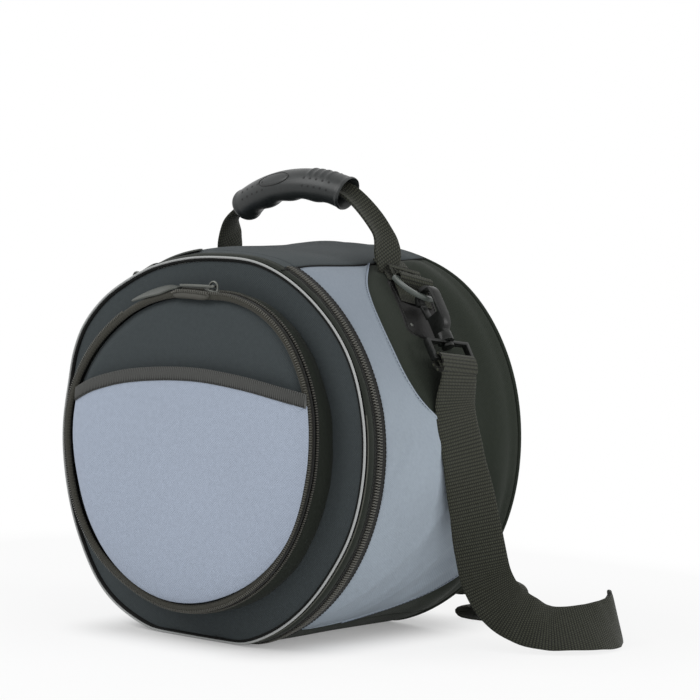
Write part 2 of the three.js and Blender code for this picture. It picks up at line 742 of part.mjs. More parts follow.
function gripSlope(x) {
  return (-2 * GRIP_RISE * x) / GRIP_HALF_LENGTH ** 2 + GRIP_SKEW / GRIP_HALF_LENGTH;
}

// Turned about the arch: a flare at each end, finger grooves underneath and an
// oval pad on top, round a bore for the webbing
function gripShape() {
  const profile = [];
  const stations = 20;
  for (let i = 0; i <= stations; i += 1) {
    const x = mix(-GRIP_HALF_LENGTH, GRIP_HALF_LENGTH, i / stations);
    profile.push(new THREE.Vector2(GRIP_RADIUS, x));
  }
  for (let i = 8; i >= 0; i -= 1) {
    profile.push(new THREE.Vector2(GRIP_BORE_RADIUS, mix(-GRIP_HALF_LENGTH, GRIP_HALF_LENGTH, i / 8)));
  }
  profile.push(new THREE.Vector2(GRIP_RADIUS, -GRIP_HALF_LENGTH));
  return mappedLathe(profile, 16, (radius, x, angle) => {
    const share = Math.abs(x) / GRIP_HALF_LENGTH;
    let reach = radius;
    if (radius > GRIP_BORE_RADIUS + 1) {
      const under = Math.max(-Math.cos(angle), 0) ** 2;
      const over = Math.max(Math.cos(angle), 0) ** 4;
      const groove = 0.5 - 0.5 * Math.cos((x / GRIP_HALF_LENGTH) * Math.PI * FINGER_GROOVES);
      const grooveFade = Math.max(1 - share ** 6, 0);
      const pad = Math.max(1 - (x / 22) ** 2, 0);
      reach += GRIP_FLARE * share ** 8 + over * pad * GRIP_PAD_HEIGHT;
      reach -= under * groove * grooveFade * FINGER_GROOVE_DEPTH;
      reach -= 1.5 * (1 - share) * under;
    }
    const slope = Math.atan(gripSlope(x));
    const up = reach * Math.cos(angle) * 0.88;
    return new THREE.Vector3(
      x - GRIP_SHIFT - up * Math.sin(slope), reach * Math.sin(angle), gripCentre(x) + up * Math.cos(slope),
    );
  });
}

handle.add(piece('handle_grip', gripShape(), colours.grip, finishes.soft));

// A flat band along a route: each stop has its middle, its width direction and a share of full width
function band(stops, width, thickness, steps, from = 0, to = 1) {
  const middle = new THREE.CatmullRomCurve3(stops.map((stop) => stop.at), false, 'centripetal');
  const across = new THREE.CatmullRomCurve3(stops.map((stop) => stop.across), false, 'catmullrom');
  const last = stops.length - 1;
  return mappedBlock(1, 1, steps, (u, v, share) => {
    const w = mix(from, to, share);
    const spot = middle.getPoint(w);
    const along = middle.getTangent(w);
    const wide = across.getPoint(w);
    wide.addScaledVector(along, -wide.dot(along)).normalize();
    const flat = along.clone().cross(wide);
    const i = Math.min(Math.floor(w * last), last - 1);
    const widthShare = mix(stops[i].share ?? 1, stops[i + 1].share ?? 1, w * last - i);
    return spot.clone()
      .addScaledVector(wide, (u - 0.5) * width * widthShare)
      .addScaledVector(flat, (v - 0.5) * thickness);
  });
}

const across = new THREE.Vector3(0, 1, 0);
const handleStops = [];
const coreStops = 5;
handleStops.push({ at: new THREE.Vector3(HANDLE_ROOT_X, 0, HANDLE_FOOT_LIFT), across });
handleStops.push({ at: new THREE.Vector3(HANDLE_ROOT_X + 3, 0, 20), across, share: 0.8 });
handleStops.push({ at: new THREE.Vector3(HANDLE_ROOT_X, 0, 39), across, share: 0.55 });
for (let i = 0; i < coreStops; i += 1) {
  const x = mix(GRIP_HALF_LENGTH, -GRIP_HALF_LENGTH, i / (coreStops - 1));
  const at = new THREE.Vector3(x - GRIP_SHIFT, 0, gripCentre(x));
  handleStops.push({ at, across, share: GRIP_CORE_SHARE });
}
handleStops.push({ at: new THREE.Vector3(-HANDLE_ROOT_X, 0, 39), across, share: 0.55 });
handleStops.push({ at: new THREE.Vector3(-HANDLE_ROOT_X - 3, 0, 20), across, share: 0.8 });
handleStops.push({ at: new THREE.Vector3(-HANDLE_ROOT_X, 0, HANDLE_FOOT_LIFT), across });
const handleWebbing = band(handleStops, WEBBING_WIDTH - 4, WEBBING_THICKNESS * 1.5, 40);

// The handle leans about a line over its roots, so its feet are rounded about that line
const feet = handleWebbing.getAttribute('position');
for (let i = 0; i < feet.count; i += 1) {
  const under = Math.max(HANDLE_PIVOT_HEIGHT - feet.getZ(i), 0) / (HANDLE_PIVOT_HEIGHT - HANDLE_FOOT_LIFT);
  feet.setY(i, feet.getY(i) * Math.sqrt(Math.max(1 - under * under, 0.02)));
}
handle.add(piece('handle_webbing', handleWebbing, colours.webbing, finishes.fabric));
handle.position.set(0, HANDLE_Y, rootHeight);
handle.rotation.x = radians(HANDLE_LEAN);

// Where the handle's webbing is sewn flat on the drum, above and below its feet
function handleRoot() {
  const half = (WEBBING_WIDTH - 4) / 2;
  const spread = HANDLE_ROOT_LENGTH / 2 / drumRadius(HANDLE_Y);
  return mappedBlock(3, 1, 1, (u, v, w) => onDrum(
    rootAngle + mix(-1.4, 0.6, u) * spread, HANDLE_Y + mix(-half, half, v),
    -BUTT_GAP - WEBBING_THICKNESS * w,
  ));
}

// A line down the side, slanted towards the front: points across and down from its
// start, at a height over the skin
const anchorLine = { angle: radians(ANCHOR_ANGLE), y: ANCHOR_Y, slant: radians(ANCHOR_SLANT) };

function onSide(line, acrossBy, downBy, lift) {
  const y = line.y - downBy * Math.sin(line.slant) + acrossBy * Math.cos(line.slant);
  const arc = downBy * Math.cos(line.slant) + acrossBy * Math.sin(line.slant);
  return onDrum(line.angle + arc / drumRadius(line.y), y, -lift);
}

// A turn and shift that puts local X across, local Y down and local Z outwards
function sideFrame(line, downBy, lift, tilt) {
  const origin = onSide(line, 0, downBy, lift);
  const down = onSide(line, 0, downBy + 1, lift).sub(onSide(line, 0, downBy - 1, lift)).normalize();
  const outward = onSide(line, 0, downBy, lift + 1).sub(origin);
  outward.addScaledVector(down, -outward.dot(down)).normalize();
  const side = down.clone().cross(outward);
  const frame = new THREE.Matrix4().makeBasis(side, down, outward);
  frame.multiply(new THREE.Matrix4().makeRotationX(tilt));
  return frame.setPosition(origin);
}

function placed(geometry, frame) {
  const copy = geometry.clone();
  copy.applyMatrix4(frame);
  return closedBody(copy);
}

const patchTop = -PATCH_ABOVE;
const patchHeight = PATCH_BELOW + PATCH_ABOVE;

function anchorPatch() {
  return mappedBlock(2, 14, 1, (u, v, w) => {
    const fromEnd = Math.min(v, 1 - v) * patchHeight;
    const round = PATCH_CORNER - Math.min(fromEnd, PATCH_CORNER);
    const half = PATCH_HALF_WIDTH - PATCH_CORNER + Math.sqrt(PATCH_CORNER ** 2 - round ** 2);
    const lift = BUTT_GAP + PATCH_THICKNESS * w;
    return onSide(anchorLine, mix(-half, half, u), patchTop + patchHeight * v, lift);
  });
}

const patchLift = BUTT_GAP + PATCH_THICKNESS;
const ringHalfDiagonal = Math.hypot(RING_BAR, RING_THICKNESS) / 2;
const loopBore = ringHalfDiagonal + RING_CLEARANCE;
const barLift = patchLift + 3 * BUTT_GAP + LOOP_WALL + loopBore;

// The hook's eye hangs on the far end of the ring, its wall just inside the ring.
// The ring tilts so that the hook clears the patch.
const eyeReach = RING_LENGTH - 1.5 * RING_BAR - EYE_PLAY + EYE_RADIUS;
const eyeLift = patchLift + HOOK_CLEARANCE + EYE_RADIUS + HOOK_WALL;
const anchorRadius = drumRadius(ANCHOR_Y);
const ringRise = Math.sqrt((anchorRadius + eyeLift) ** 2 - eyeReach ** 2) - anchorRadius - barLift;
const ringTilt = Math.asin(ringRise / eyeReach);
const ringFrame = sideFrame(anchorLine, 0, barLift, ringTilt);

function dRing() {
  const outline = new THREE.Shape();
  const w = RING_HALF_WIDTH;
  const top = -RING_BAR / 2;
  const corner = 3;
  outline.moveTo(-w + corner, top);
  outline.lineTo(w - corner, top);
  outline.quadraticCurveTo(w, top, w, top + corner);
  outline.bezierCurveTo(w, RING_LENGTH * 0.55, w * 0.62, RING_LENGTH + top, 0, RING_LENGTH + top);
  outline.bezierCurveTo(-w * 0.62, RING_LENGTH + top, -w, RING_LENGTH * 0.55, -w, top + corner);
  outline.quadraticCurveTo(-w, top, -w + corner, top);
  const hole = new THREE.Path();
  const v = w - RING_BAR;
  const inside = RING_BAR / 2;
  const end = RING_LENGTH + top - RING_BAR;
  hole.moveTo(-v, inside);
  hole.lineTo(v, inside);
  hole.bezierCurveTo(v, RING_LENGTH * 0.48, v * 0.6, end, 0, end);
  hole.bezierCurveTo(-v * 0.6, end, -v, RING_LENGTH * 0.48, -v, inside);
  outline.holes.push(hole);
  const ring = new THREE.ExtrudeGeometry(outline, {
    depth: RING_THICKNESS, bevelEnabled: false, curveSegments: 8,
  });
  ring.translate(0, 0, -RING_THICKNESS / 2);
  return closedBody(ring);
}

// A C-shaped sleeve round the bar, its two ends sewn down as a tail below it
function loopSleeve() {
  const outer = loopBore + LOOP_WALL;
  const sleeve = new THREE.CylinderGeometry(outer, outer, 2 * LOOP_HALF_WIDTH, 16);
  sleeve.rotateZ(Math.PI / 2);
  const bore = new THREE.CylinderGeometry(loopBore, loopBore, 2 * LOOP_HALF_WIDTH + 2, 16);
  bore.rotateZ(Math.PI / 2);
  const tail = new THREE.BoxGeometry(2 * LOOP_HALF_WIDTH, LOOP_TAIL, LOOP_WALL * 1.2);
  tail.translate(0, -LOOP_TAIL / 2 + 1, -outer + LOOP_WALL * 0.6);
  return fromSolid(toSolid(sleeve).add(toSolid(tail)).subtract(toSolid(bore)));
}

// Hook in its own frame: local Y runs down the hook, local Z outwards, X through its thickness.
// The eye opens towards the bag, where the gate closes it.
const eye = new THREE.Vector3(0, eyeReach, 0).applyMatrix4(ringFrame);
const hookLine = {
  angle: Math.atan2(eye.x, eye.z - axisHeight(eye.y)), y: eye.y, slant: radians(HOOK_SLANT),
};
const hookFrame = sideFrame(hookLine, HOOK_MIDDLE, 0, 0);
const eyeInHook = eye.clone().applyMatrix4(hookFrame.clone().invert());
const eyeY = eyeInHook.y;
const eyeZ = eyeInHook.z;
const shankEndY = eyeY + SHANK_LENGTH - EYE_RADIUS;
const gateFootY = eyeY + 15;
const outerRadius = EYE_RADIUS + HOOK_WALL;

function acrossPlate(shape, thickness, curveSegments) {
  const plate = new THREE.ExtrudeGeometry(shape, { depth: thickness, bevelEnabled: false, curveSegments });
  plate.translate(0, 0, -thickness / 2);
  const turn = new THREE.Matrix4().makeBasis(
    new THREE.Vector3(0, 1, 0), new THREE.Vector3(0, 0, 1), new THREE.Vector3(1, 0, 0),
  );
  plate.applyMatrix4(turn);
  return plate;
}

function hookShape() {
  const jaw = new THREE.Shape();
  jaw.moveTo(eyeY + 2, eyeZ - outerRadius);
  jaw.lineTo(eyeY, eyeZ - outerRadius);
  jaw.absarc(eyeY, eyeZ, outerRadius, -Math.PI / 2, -1.5 * Math.PI, true);
  jaw.lineTo(gateFootY, eyeZ + outerRadius);
  jaw.quadraticCurveTo(shankEndY - 4, eyeZ + outerRadius, shankEndY - 2, eyeZ + 5);
  jaw.lineTo(shankEndY, eyeZ + 5);
  jaw.lineTo(shankEndY, eyeZ - 5);
  jaw.lineTo(gateFootY, eyeZ - 5);
  jaw.lineTo(gateFootY, eyeZ + EYE_RADIUS);
  jaw.lineTo(eyeY, eyeZ + EYE_RADIUS);
  jaw.absarc(eyeY, eyeZ, EYE_RADIUS, -1.5 * Math.PI, -Math.PI / 2, false);
  jaw.lineTo(eyeY + 2, eyeZ - EYE_RADIUS);
  jaw.closePath();
  const stem = new THREE.CylinderGeometry(STEM_RADIUS, STEM_RADIUS, STEM_LENGTH + 1, 12);
  stem.translate(0, shankEndY + STEM_LENGTH / 2 - 0.5, eyeZ);
  const head = new THREE.CylinderGeometry(STEM_HEAD_RADIUS, STEM_HEAD_RADIUS, 2, 12);
  head.translate(0, shankEndY + STEM_LENGTH - 1, eyeZ);
  return joined(acrossPlate(jaw, HOOK_THICKNESS, 8), stem, head);
}

function gateShape() {
  const gate = new THREE.Shape();
  const low = eyeZ - EYE_RADIUS - 2;
  gate.moveTo(eyeY + 2 + BUTT_GAP, low + 0.4);
  gate.lineTo(gateFootY - BUTT_GAP, eyeZ - 5 - GATE_THICKNESS + 0.4);
  gate.lineTo(gateFootY - BUTT_GAP, eyeZ - 5 + 0.4);
  gate.lineTo(eyeY + 2 + BUTT_GAP, low + 0.4 + GATE_THICKNESS);
  gate.closePath();
  return closedBody(acrossPlate(gate, HOOK_THICKNESS - 2, 2));
}

// Swivel base: a collar round the stem on a frame that the strap loops through
const collarY = shankEndY + BUTT_GAP;
const frameTopY = collarY + COLLAR_LENGTH - 1;
const windowTopY = frameTopY + 1;
const frameEndY = windowTopY + FRAME_HEIGHT;

function baseShape() {
  const collar = new THREE.CylinderGeometry(COLLAR_RADIUS, COLLAR_RADIUS, COLLAR_LENGTH, 14);
  collar.translate(0, collarY + COLLAR_LENGTH / 2, eyeZ);
  const plate = new THREE.BoxGeometry(FRAME_WIDTH, frameEndY - frameTopY, FRAME_THICKNESS);
  plate.translate(0, (frameEndY + frameTopY) / 2, eyeZ);
  const bore = new THREE.CylinderGeometry(
    STEM_RADIUS + STEM_CLEARANCE, STEM_RADIUS + STEM_CLEARANCE, COLLAR_LENGTH + 6, 14,
  );
  bore.translate(0, collarY + COLLAR_LENGTH / 2, eyeZ);
  const windowHeight = FRAME_HEIGHT - FRAME_BAR - 1.4;
  const slot = new THREE.BoxGeometry(WEBBING_WIDTH + 1.4, windowHeight, FRAME_THICKNESS + 2);
  slot.translate(0, windowTopY + 1.4 + windowHeight / 2, eyeZ);
  return fromSolid(toSolid(collar).add(toSolid(plate)).subtract(toSolid(bore)).subtract(toSolid(slot)));
}

function addAnchor(name, mirror) {
  const parts = {
    root: mirror(handleRoot()),
    patch: mirror(anchorPatch()),
    loop: mirror(placed(loopSleeve(), sideFrame(anchorLine, 0, barLift, 0))),
    ring: mirror(placed(dRing(), ringFrame)),
    hook: mirror(placed(hookShape(), hookFrame)),
    gate: mirror(placed(gateShape(), hookFrame)),
    base: mirror(placed(baseShape(), hookFrame)),
  };
  body.add(piece(`handle_root_${name}`, parts.root, colours.webbing, finishes.fabric));
  body.add(piece(`anchor_patch_${name}`, parts.patch, colours.leather, finishes.soft));
  body.add(piece(`anchor_loop_${name}`, parts.loop, colours.webbing, finishes.fabric));
  body.add(piece(`d_ring_${name}`, parts.ring, colours.ringPlastic, finishes.plastic));
  body.add(piece(`hook_${name}`, parts.hook, colours.plastic, finishes.plastic));
  body.add(piece(`hook_gate_${name}`, parts.gate, colours.plastic, finishes.plastic));
  body.add(piece(`hook_base_${name}`, parts.base, colours.plastic, finishes.plastic));
}

addAnchor('right', (shape) => shape);
addAnchor('left', mirrored);

// Shoulder strap: its route as middles and width directions, hand-chosen.
// It hangs from the right hook, lies in a curl on the floor beside the drum,
// goes behind the drum and rises to the left hook.
const strapTopY = frameEndY + BUTT_GAP;
const strapTop = new THREE.Vector3(0, strapTopY, eyeZ).applyMatrix4(hookFrame);
const hookAcross = new THREE.Vector3(-1, 0, 0).transformDirection(hookFrame);

function mirroredPoint(vector) {
  return new THREE.Vector3(-vector.x, vector.y, vector.z);
}

function stop(x, y, z, acrossX, acrossY, acrossZ) {
  return { at: new THREE.Vector3(x, y, z), across: new THREE.Vector3(acrossX, acrossY, acrossZ) };
}

const strapDown = new THREE.Vector3(0, strapTopY + 9, eyeZ + 0.5).applyMatrix4(hookFrame);
const strapRoute = [
  { at: strapTop, across: hookAcross },
  { at: strapDown, across: hookAcross },
  stop(155, 11, 185, 0.22, 0.97, 0),
  stop(160, 16, 150, 0.3, 0.95, 0),
  stop(167, 21, 112, 0.5, 0.86, 0),
  stop(171, 28, 76, 0.7, 0.7, 0.03),
  stop(175, 33, 54, 0.79, 0.6, 0.12),
  stop(183, 42, 36, 0.7, 0.58, 0.4),
  stop(195, 54, 25, 0.35, 0.72, 0.6),
  stop(208, 67, 19, -0.05, 0.75, 0.66),
  stop(219, 80, 18.5, -0.4, 0.55, 0.73),
  stop(228, 97, 19, -0.5, 0.35, 0.79),
  stop(231, 115, 19.5, -0.45, 0.05, 0.89),
  stop(226, 134, 20.8, -0.2, -0.2, 0.96),
  stop(212, 150, 20.6, 0, -0.3, 0.95),
  stop(194, 160, 17, 0.1, 0.5, 0.86),
  stop(174, 167, 9.5, 0.1, 0.9, 0.35),
  stop(154, 170, 3.6, 0, 1, 0.08),
  stop(130, 170, 1.4, 0, 1, 0),
  stop(100, 167, 1.2, 0, 1, 0),
  stop(74, 164, 1.3, 0, 1, 0),
  stop(66.5, 163, 3, 0, 1, 0),
  stop(64, 163, 6, 0, 1, 0),
  stop(66.5, 163, 9, 0, 1, 0),
  stop(75, 164, 10.6, 0, 1, 0),
  stop(90, 165, 11, 0, 1, 0),
  stop(98, 165, 12, 0, 1, 0),
  stop(105, 165, 16, 0, 1, 0),
  stop(107, 165, 21, 0, 1, 0),
  stop(104, 165, 26, 0, 1, 0),
  stop(97, 165, 29, 0, 1, 0),
  stop(84, 163, 31, 0, 0.98, 0.2),
  stop(60, 152, 37, -0.05, 0.5, 0.86),
  stop(30, 136, 46, 0, 0.3, 0.95),
  stop(-5, 122, 56, 0, 0.08, 1),
  stop(-50, 117, 68, 0.05, 0, 1),
  stop(-95, 116, 84, 0.2, 0, 0.95),
  stop(-134, 108, 104, 0.4, 0.2, 0.85),
  stop(-163, 86, 128, 0.28, 0.66, 0.65),
  stop(-174, 58, 150, 0, 0.9, 0.4),
  stop(-172, 36, 170, -0.25, 0.95, 0.15),
  stop(-159, 14, 188, -0.22, 0.97, 0),
  { at: mirroredPoint(strapDown), across: mirroredPoint(hookAcross) },
  { at: mirroredPoint(strapTop), across: mirroredPoint(hookAcross) },
];

// One piece of the strap, between two places on its route from 0 to 1
function addStrap(name, from, to, steps) {
  const shape = band(
    strapRoute, WEBBING_WIDTH, WEBBING_THICKNESS, steps, from + STRAP_JOIN, to - STRAP_JOIN,
  );
  body.add(piece(name, shape, colours.webbing, finishes.fabric));
}

addStrap('strap_hanging_right', 0, 0.23, 30);
addStrap('strap_floor_curl', 0.23, 0.44, 36);
addStrap('strap_behind', 0.44, 0.88, 56);
addStrap('strap_hanging_left', 0.88, 1, 16);

lid.add(flap);
body.add(lid, handle);

export default body;
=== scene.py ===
"""Round drum cooler bag: zipped lid, zipped front pocket, carrying handle and shoulder strap."""

import functools
import itertools
import math

import bmesh
import bpy
from bpy.props import FloatProperty, FloatVectorProperty, PointerProperty
from mathutils import Matrix, Vector, noise


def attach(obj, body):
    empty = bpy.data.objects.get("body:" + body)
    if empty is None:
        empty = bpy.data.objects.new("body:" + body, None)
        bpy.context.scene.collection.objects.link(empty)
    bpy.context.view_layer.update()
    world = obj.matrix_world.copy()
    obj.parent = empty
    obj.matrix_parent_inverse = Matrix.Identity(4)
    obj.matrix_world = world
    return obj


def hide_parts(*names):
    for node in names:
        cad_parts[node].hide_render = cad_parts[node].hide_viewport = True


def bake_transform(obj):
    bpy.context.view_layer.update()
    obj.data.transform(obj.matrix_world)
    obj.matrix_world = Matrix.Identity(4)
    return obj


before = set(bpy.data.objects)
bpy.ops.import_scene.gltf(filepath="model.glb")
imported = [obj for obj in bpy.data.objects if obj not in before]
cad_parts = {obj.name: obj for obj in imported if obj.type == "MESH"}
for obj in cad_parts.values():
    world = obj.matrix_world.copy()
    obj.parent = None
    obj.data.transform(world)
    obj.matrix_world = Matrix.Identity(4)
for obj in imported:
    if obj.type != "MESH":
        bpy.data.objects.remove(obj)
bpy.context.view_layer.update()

bl_info = {
    "name": "Drum cooler bag",
    "version": (1, 0, 0),
    "blender": (4, 5, 0),
    "location": "View3D > Sidebar > Cooler bag",
    "description": "Sews a round cooler bag round its frame, piece by piece",
    "category": "Add Mesh",
}

# The drum, as in the frame: metres, standing on the floor, its lid towards -Y
FRONT_Y = -0.092
BACK_Y = 0.092
FRONT_RADIUS = 0.149
BACK_RADIUS = 0.154
FOOT_SHARE = 0.04
CLOTH_THICKNESS = 0.00112
THIN_CLOTH = 0.0011
TAPE_THICKNESS = 0.0009
BASE_ANGLE = 150.0
BUTT_ANGLE = 0.06
GUSSET_REAR_Y = -0.081
LID_TAPE_Y = (-0.0807, -0.0761)
BODY_TAPE_Y = (-0.0758, -0.0672)
ZIP_PITCH = 0.0021
ZIP_TOOTH_WIDTH = 0.0031
PANEL_FRONT_Y = -0.0709
BLUE_FRONT_Y = -0.067
SEWN_TOP = 23.1
PANEL_REAR_Y = 0.088
LID_CENTRE_Z = FRONT_RADIUS * (1 - FOOT_SHARE)
LID_PANEL_RADIUS = 0.1453
BACK_PIPING_RADIUS = 0.0016
BACK_PIPING_DEPTH = 0.0012
PIPING_RADIUS = 0.0009
PIPING_DEPTH = 0.0005
TOP_OVERLAP = 0.5
HEM_WIDTH = 0.0034
STITCH_PITCH = 0.0032
STITCH_LIFT = 0.0001
HEM_CORD_SETBACK = 0.003

# The padding inside: how deep under the skin each layer starts, and how thick it is
FOAM_DEPTH = 0.0022
FOAM_THICKNESS = 0.0045
FOAM_REAR_Y = 0.0822
BACK_FOAM_Y = 0.0876
LINER_DEPTH = 0.0074
LINER_THICKNESS = 0.0008
LID_PADDING_RADIUS = 0.1452

# The pocket on the lid
POCKET_RADIUS = 0.122
POCKET_BASE_Y = -0.0923
POCKET_WALL_Y = -0.1093
POCKET_TAPE_Y = (-0.1096, -0.113)
FLAP_TAPE_Y = (-0.1167, -0.1133)
FLAP_FACE_Y = -0.117
POCKET_ZIP = (-6.0, 328.0)
WELT_WIDTH = 0.006
SLIP_RIM_Y = -0.1203
SLIP_WALL = 0.0012
SLIP_LEFT_X = -0.109
SLIP_RIGHT_X = 0.1202
BINDING_HEIGHT = 0.0107
POCKET_ZIP_PITCH = 0.0018

# The handle, upright in its own frame, and the strap anchors
HANDLE_ORIGIN = Vector((0, 0.032, 0.27947))
HANDLE_LEAN = math.radians(23)
GRIP_HALF_LENGTH = 0.0535
GRIP_RADIUS = 0.0144
GRIP_BORE = 0.0095
GRIP_HEIGHT = 0.0692
GRIP_RISE = 0.0118
GRIP_SKEW = 0.0075
GRIP_SHIFT = 0.0045
GRIP_RIBS = (0.022, 0.0275, 0.033, 0.0385)
PAD_X = -0.0095
PAD_TURN = -33.0
PAD_HALF_LENGTH = 0.0145
PAD_HALF_TURN = 24.0
FOLDED_SHARE = 0.48
WEBBING_WIDTH = 0.039
WEBBING_THICKNESS = 0.0016
ANCHOR_ANGLE = 37.0
ANCHOR_Y = 0.03
ANCHOR_SLANT = math.radians(23)
BAR_LIFT = 0.008

# Waist seam between the coloured and the black side panels: degrees from the top, and the share of
# the drum's length behind its front
WAIST_SEAM = (
    (21, 0.645), (37, 0.38), (54, 0.292), (71, 0.358), (90, 0.67), (118, 0.897),
    (135, 0.772), (145, 0.467), (150, 0.147),
)

# How far the padded bag swells past its round frame, in metres, by degrees from the top: the lid's
# edge, the shoulder behind the zip, the waist and the rear
LID_SWELL = (
    (-180, 0), (-160, 0.002), (-140, 0.006), (-122, 0.002), (-105, -0.0005), (-88, 0), (-75, 0.001),
    (-65, 0.0055), (-57, 0.0075), (-46, 0.0058), (-35, 0.0022), (-26, 0.0002), (-13, -0.0021),
    (2, -0.0018), (18, 0.003), (40, 0.006), (58, 0.008), (75, 0.0055), (92, 0.0027), (108, 0.0008),
    (124, -0.0016), (150, -0.0008), (180, 0),
)
SHOULDER_SWELL = (
    (-180, 0), (-145, 0.002), (-120, 0.0015), (-90, 0.0005), (-60, 0.001), (-38, 0), (-22, 0.0035),
    (-10, 0.002), (0, 0.0005), (12, 0.002), (22, 0.0045), (55, 0.0045), (80, 0.0025), (105, 0.001),
    (125, 0.0015), (150, 0.001), (180, 0),
)
WAIST_SWELL = ((0, -0.003), (25, 0.001), (60, 0.0012), (90, 0.0016), (125, 0.002), (152, 0), (180, 0))
REAR_SWELL = (
    (0, -0.0055), (20, -0.0005), (40, 0.0062), (62, 0.0074), (90, 0.006), (120, 0.0058), (145, 0.002),
    (165, 0), (180, 0),
)
ZIP_SWELL_LIMIT = 0.0042
ANCHOR_DENT = 0.0018

# The same for the pocket's edge, then the radius of the slip pocket's edge and the height of its
# arched top over the pocket's centre
POCKET_SWELL = (
    (-180, -0.0026), (-154, -0.0035), (-130, -0.0008), (-100, -0.001), (-79, 0.0015), (-60, 0.0005),
    (-40, -0.001), (-25, -0.0007), (-8, 0), (8, 0.001), (20, 0.0065), (32, 0.0105), (44, 0.0115),
    (58, 0.009), (70, 0.006), (82, 0.002), (94, -0.0005), (104, -0.0022), (130, -0.003),
    (155, -0.0032), (180, -0.0026),
)
SLIP_EDGE = (
    (69, 0.1276), (80, 0.1236), (88, 0.1215), (98, 0.1195), (118, 0.1182), (137, 0.115),
    (158, 0.1122), (190, 0.1125), (213, 0.1115), (236, 0.1095), (252, 0.1085), (262, 0.1095),
    (274, 0.1117), (286, 0.1135),
)
SLIP_ARCH = (
    (-0.11, 0.0305), (-0.084, 0.0413), (-0.045, 0.0508), (0.012, 0.056), (0.06, 0.0537),
    (0.104, 0.0476), (0.124, 0.0436),
)

# The flap's welt in section: how far inside its edge, and its Y
WELT_SECTION = (
    (0.0, FLAP_FACE_Y), (0.0, -0.1176), (0.0007, -0.1189), (0.0022, -0.1199), (0.0040, -0.1200),
    (0.0055, -0.1192), (0.0060, -0.1184), (0.0052, FLAP_FACE_Y),
)

# The photograph's view: lens and sensor in millimetres, the camera's place, and its right, up and back
LENS = 164.6
SENSOR_WIDTH = 36
CAMERA_PLACE = (1.57576, -1.90434, 0.40414)
CAMERA_AXES = ((0.78045, 0.62417, 0.03607), (-0.07506, 0.03627, 0.99652), (0.62069, -0.78044, 0.07516))

# How each leather tab hangs: its turn in degrees, and how far its end bends away
TAB_HANG = {"upper": (0, 0.0012), "lower": (-12, 0.004), "pocket": (-24, 0.0028)}

# The stage
FLOOR_RADIUS = 12
FLOOR_Z = -0.0002
LAMP_TARGET = Vector((0, 0, 0.12))

# Looks shared by several materials
DUST_COLOUR = (0.35, 0.36, 0.36, 1)
# Painted shade: the dark blue that the coloured panels are darkened towards near their top
PAINTED_SHADE_COLOUR = (0.04, 0.05, 0.09, 1)
MEAN_ROUGHNESS = 0.68
CLOTH_GLOSS = 0.12

# The strap's route in metres: its middle, then the direction of its width
STRAP_ROUTE = (
    (0.15111, 0.01271, 0.218, 0.0825, 0.9903, -0.1117),
    (0.15676, 0.01146, 0.21109, 0.0825, 0.9903, -0.1117),
    (0.155, 0.011, 0.185, 0.22, 0.97, 0), (0.16, 0.016, 0.15, 0.3, 0.95, 0),
    (0.167, 0.021, 0.112, 0.5, 0.86, 0), (0.171, 0.028, 0.076, 0.7, 0.7, 0.03),
    (0.175, 0.033, 0.054, 0.79, 0.6, 0.12), (0.183, 0.042, 0.036, 0.7, 0.58, 0.4),
    (0.195, 0.054, 0.025, 0.35, 0.72, 0.6), (0.208, 0.067, 0.019, -0.05, 0.75, 0.66),
    (0.219, 0.08, 0.0185, -0.4, 0.55, 0.73), (0.228, 0.097, 0.019, -0.5, 0.35, 0.79),
    (0.231, 0.115, 0.0195, -0.45, 0.05, 0.89), (0.226, 0.134, 0.0208, -0.2, -0.2, 0.96),
    (0.212, 0.15, 0.0206, 0, -0.3, 0.95), (0.194, 0.16, 0.017, 0.1, 0.5, 0.86),
    (0.174, 0.167, 0.0095, 0.1, 0.9, 0.35), (0.154, 0.17, 0.0036, 0, 1, 0.08),
    (0.13, 0.17, 0.0014, 0, 1, 0), (0.1, 0.167, 0.0012, 0, 1, 0),
    (0.074, 0.164, 0.0013, 0, 1, 0), (0.0665, 0.163, 0.003, 0, 1, 0),
    (0.064, 0.163, 0.006, 0, 1, 0), (0.0665, 0.163, 0.009, 0, 1, 0),
    (0.075, 0.164, 0.0106, 0, 1, 0), (0.09, 0.165, 0.011, 0, 1, 0),
    (0.098, 0.165, 0.012, 0, 1, 0), (0.105, 0.165, 0.016, 0, 1, 0),
    (0.107, 0.165, 0.021, 0, 1, 0), (0.104, 0.165, 0.026, 0, 1, 0),
    (0.097, 0.165, 0.029, 0, 1, 0), (0.084, 0.163, 0.031, 0, 0.98, 0.2),
    (0.06, 0.152, 0.037, -0.05, 0.5, 0.86), (0.03, 0.136, 0.046, 0, 0.3, 0.95),
    (-0.005, 0.122, 0.056, 0, 0.08, 1), (-0.05, 0.117, 0.068, 0.05, 0, 1),
    (-0.095, 0.116, 0.084, 0.2, 0, 0.95), (-0.134, 0.108, 0.104, 0.4, 0.2, 0.85),
    (-0.163, 0.086, 0.128, 0.28, 0.66, 0.65), (-0.174, 0.058, 0.15, 0, 0.9, 0.4),
    (-0.172, 0.036, 0.17, -0.25, 0.95, 0.15), (-0.159, 0.014, 0.188, -0.22, 0.97, 0),
    (-0.15676, 0.01146, 0.21109, -0.0825, 0.9903, -0.1117),
    (-0.15111, 0.01271, 0.218, -0.0825, 0.9903, -0.1117),
)


# Numbers and curves
def mix(start, end, share):
    return start + (end - start) * share


def clamp(value, low=0.0, high=1.0):
    return min(max(value, low), high)


def smooth_step(low, high, value):
    share = clamp((value - low) / (high - low))
    return share * share * (3 - 2 * share)


def hump(value, middle, width):
    return math.exp(-(((value - middle) / width) ** 2))


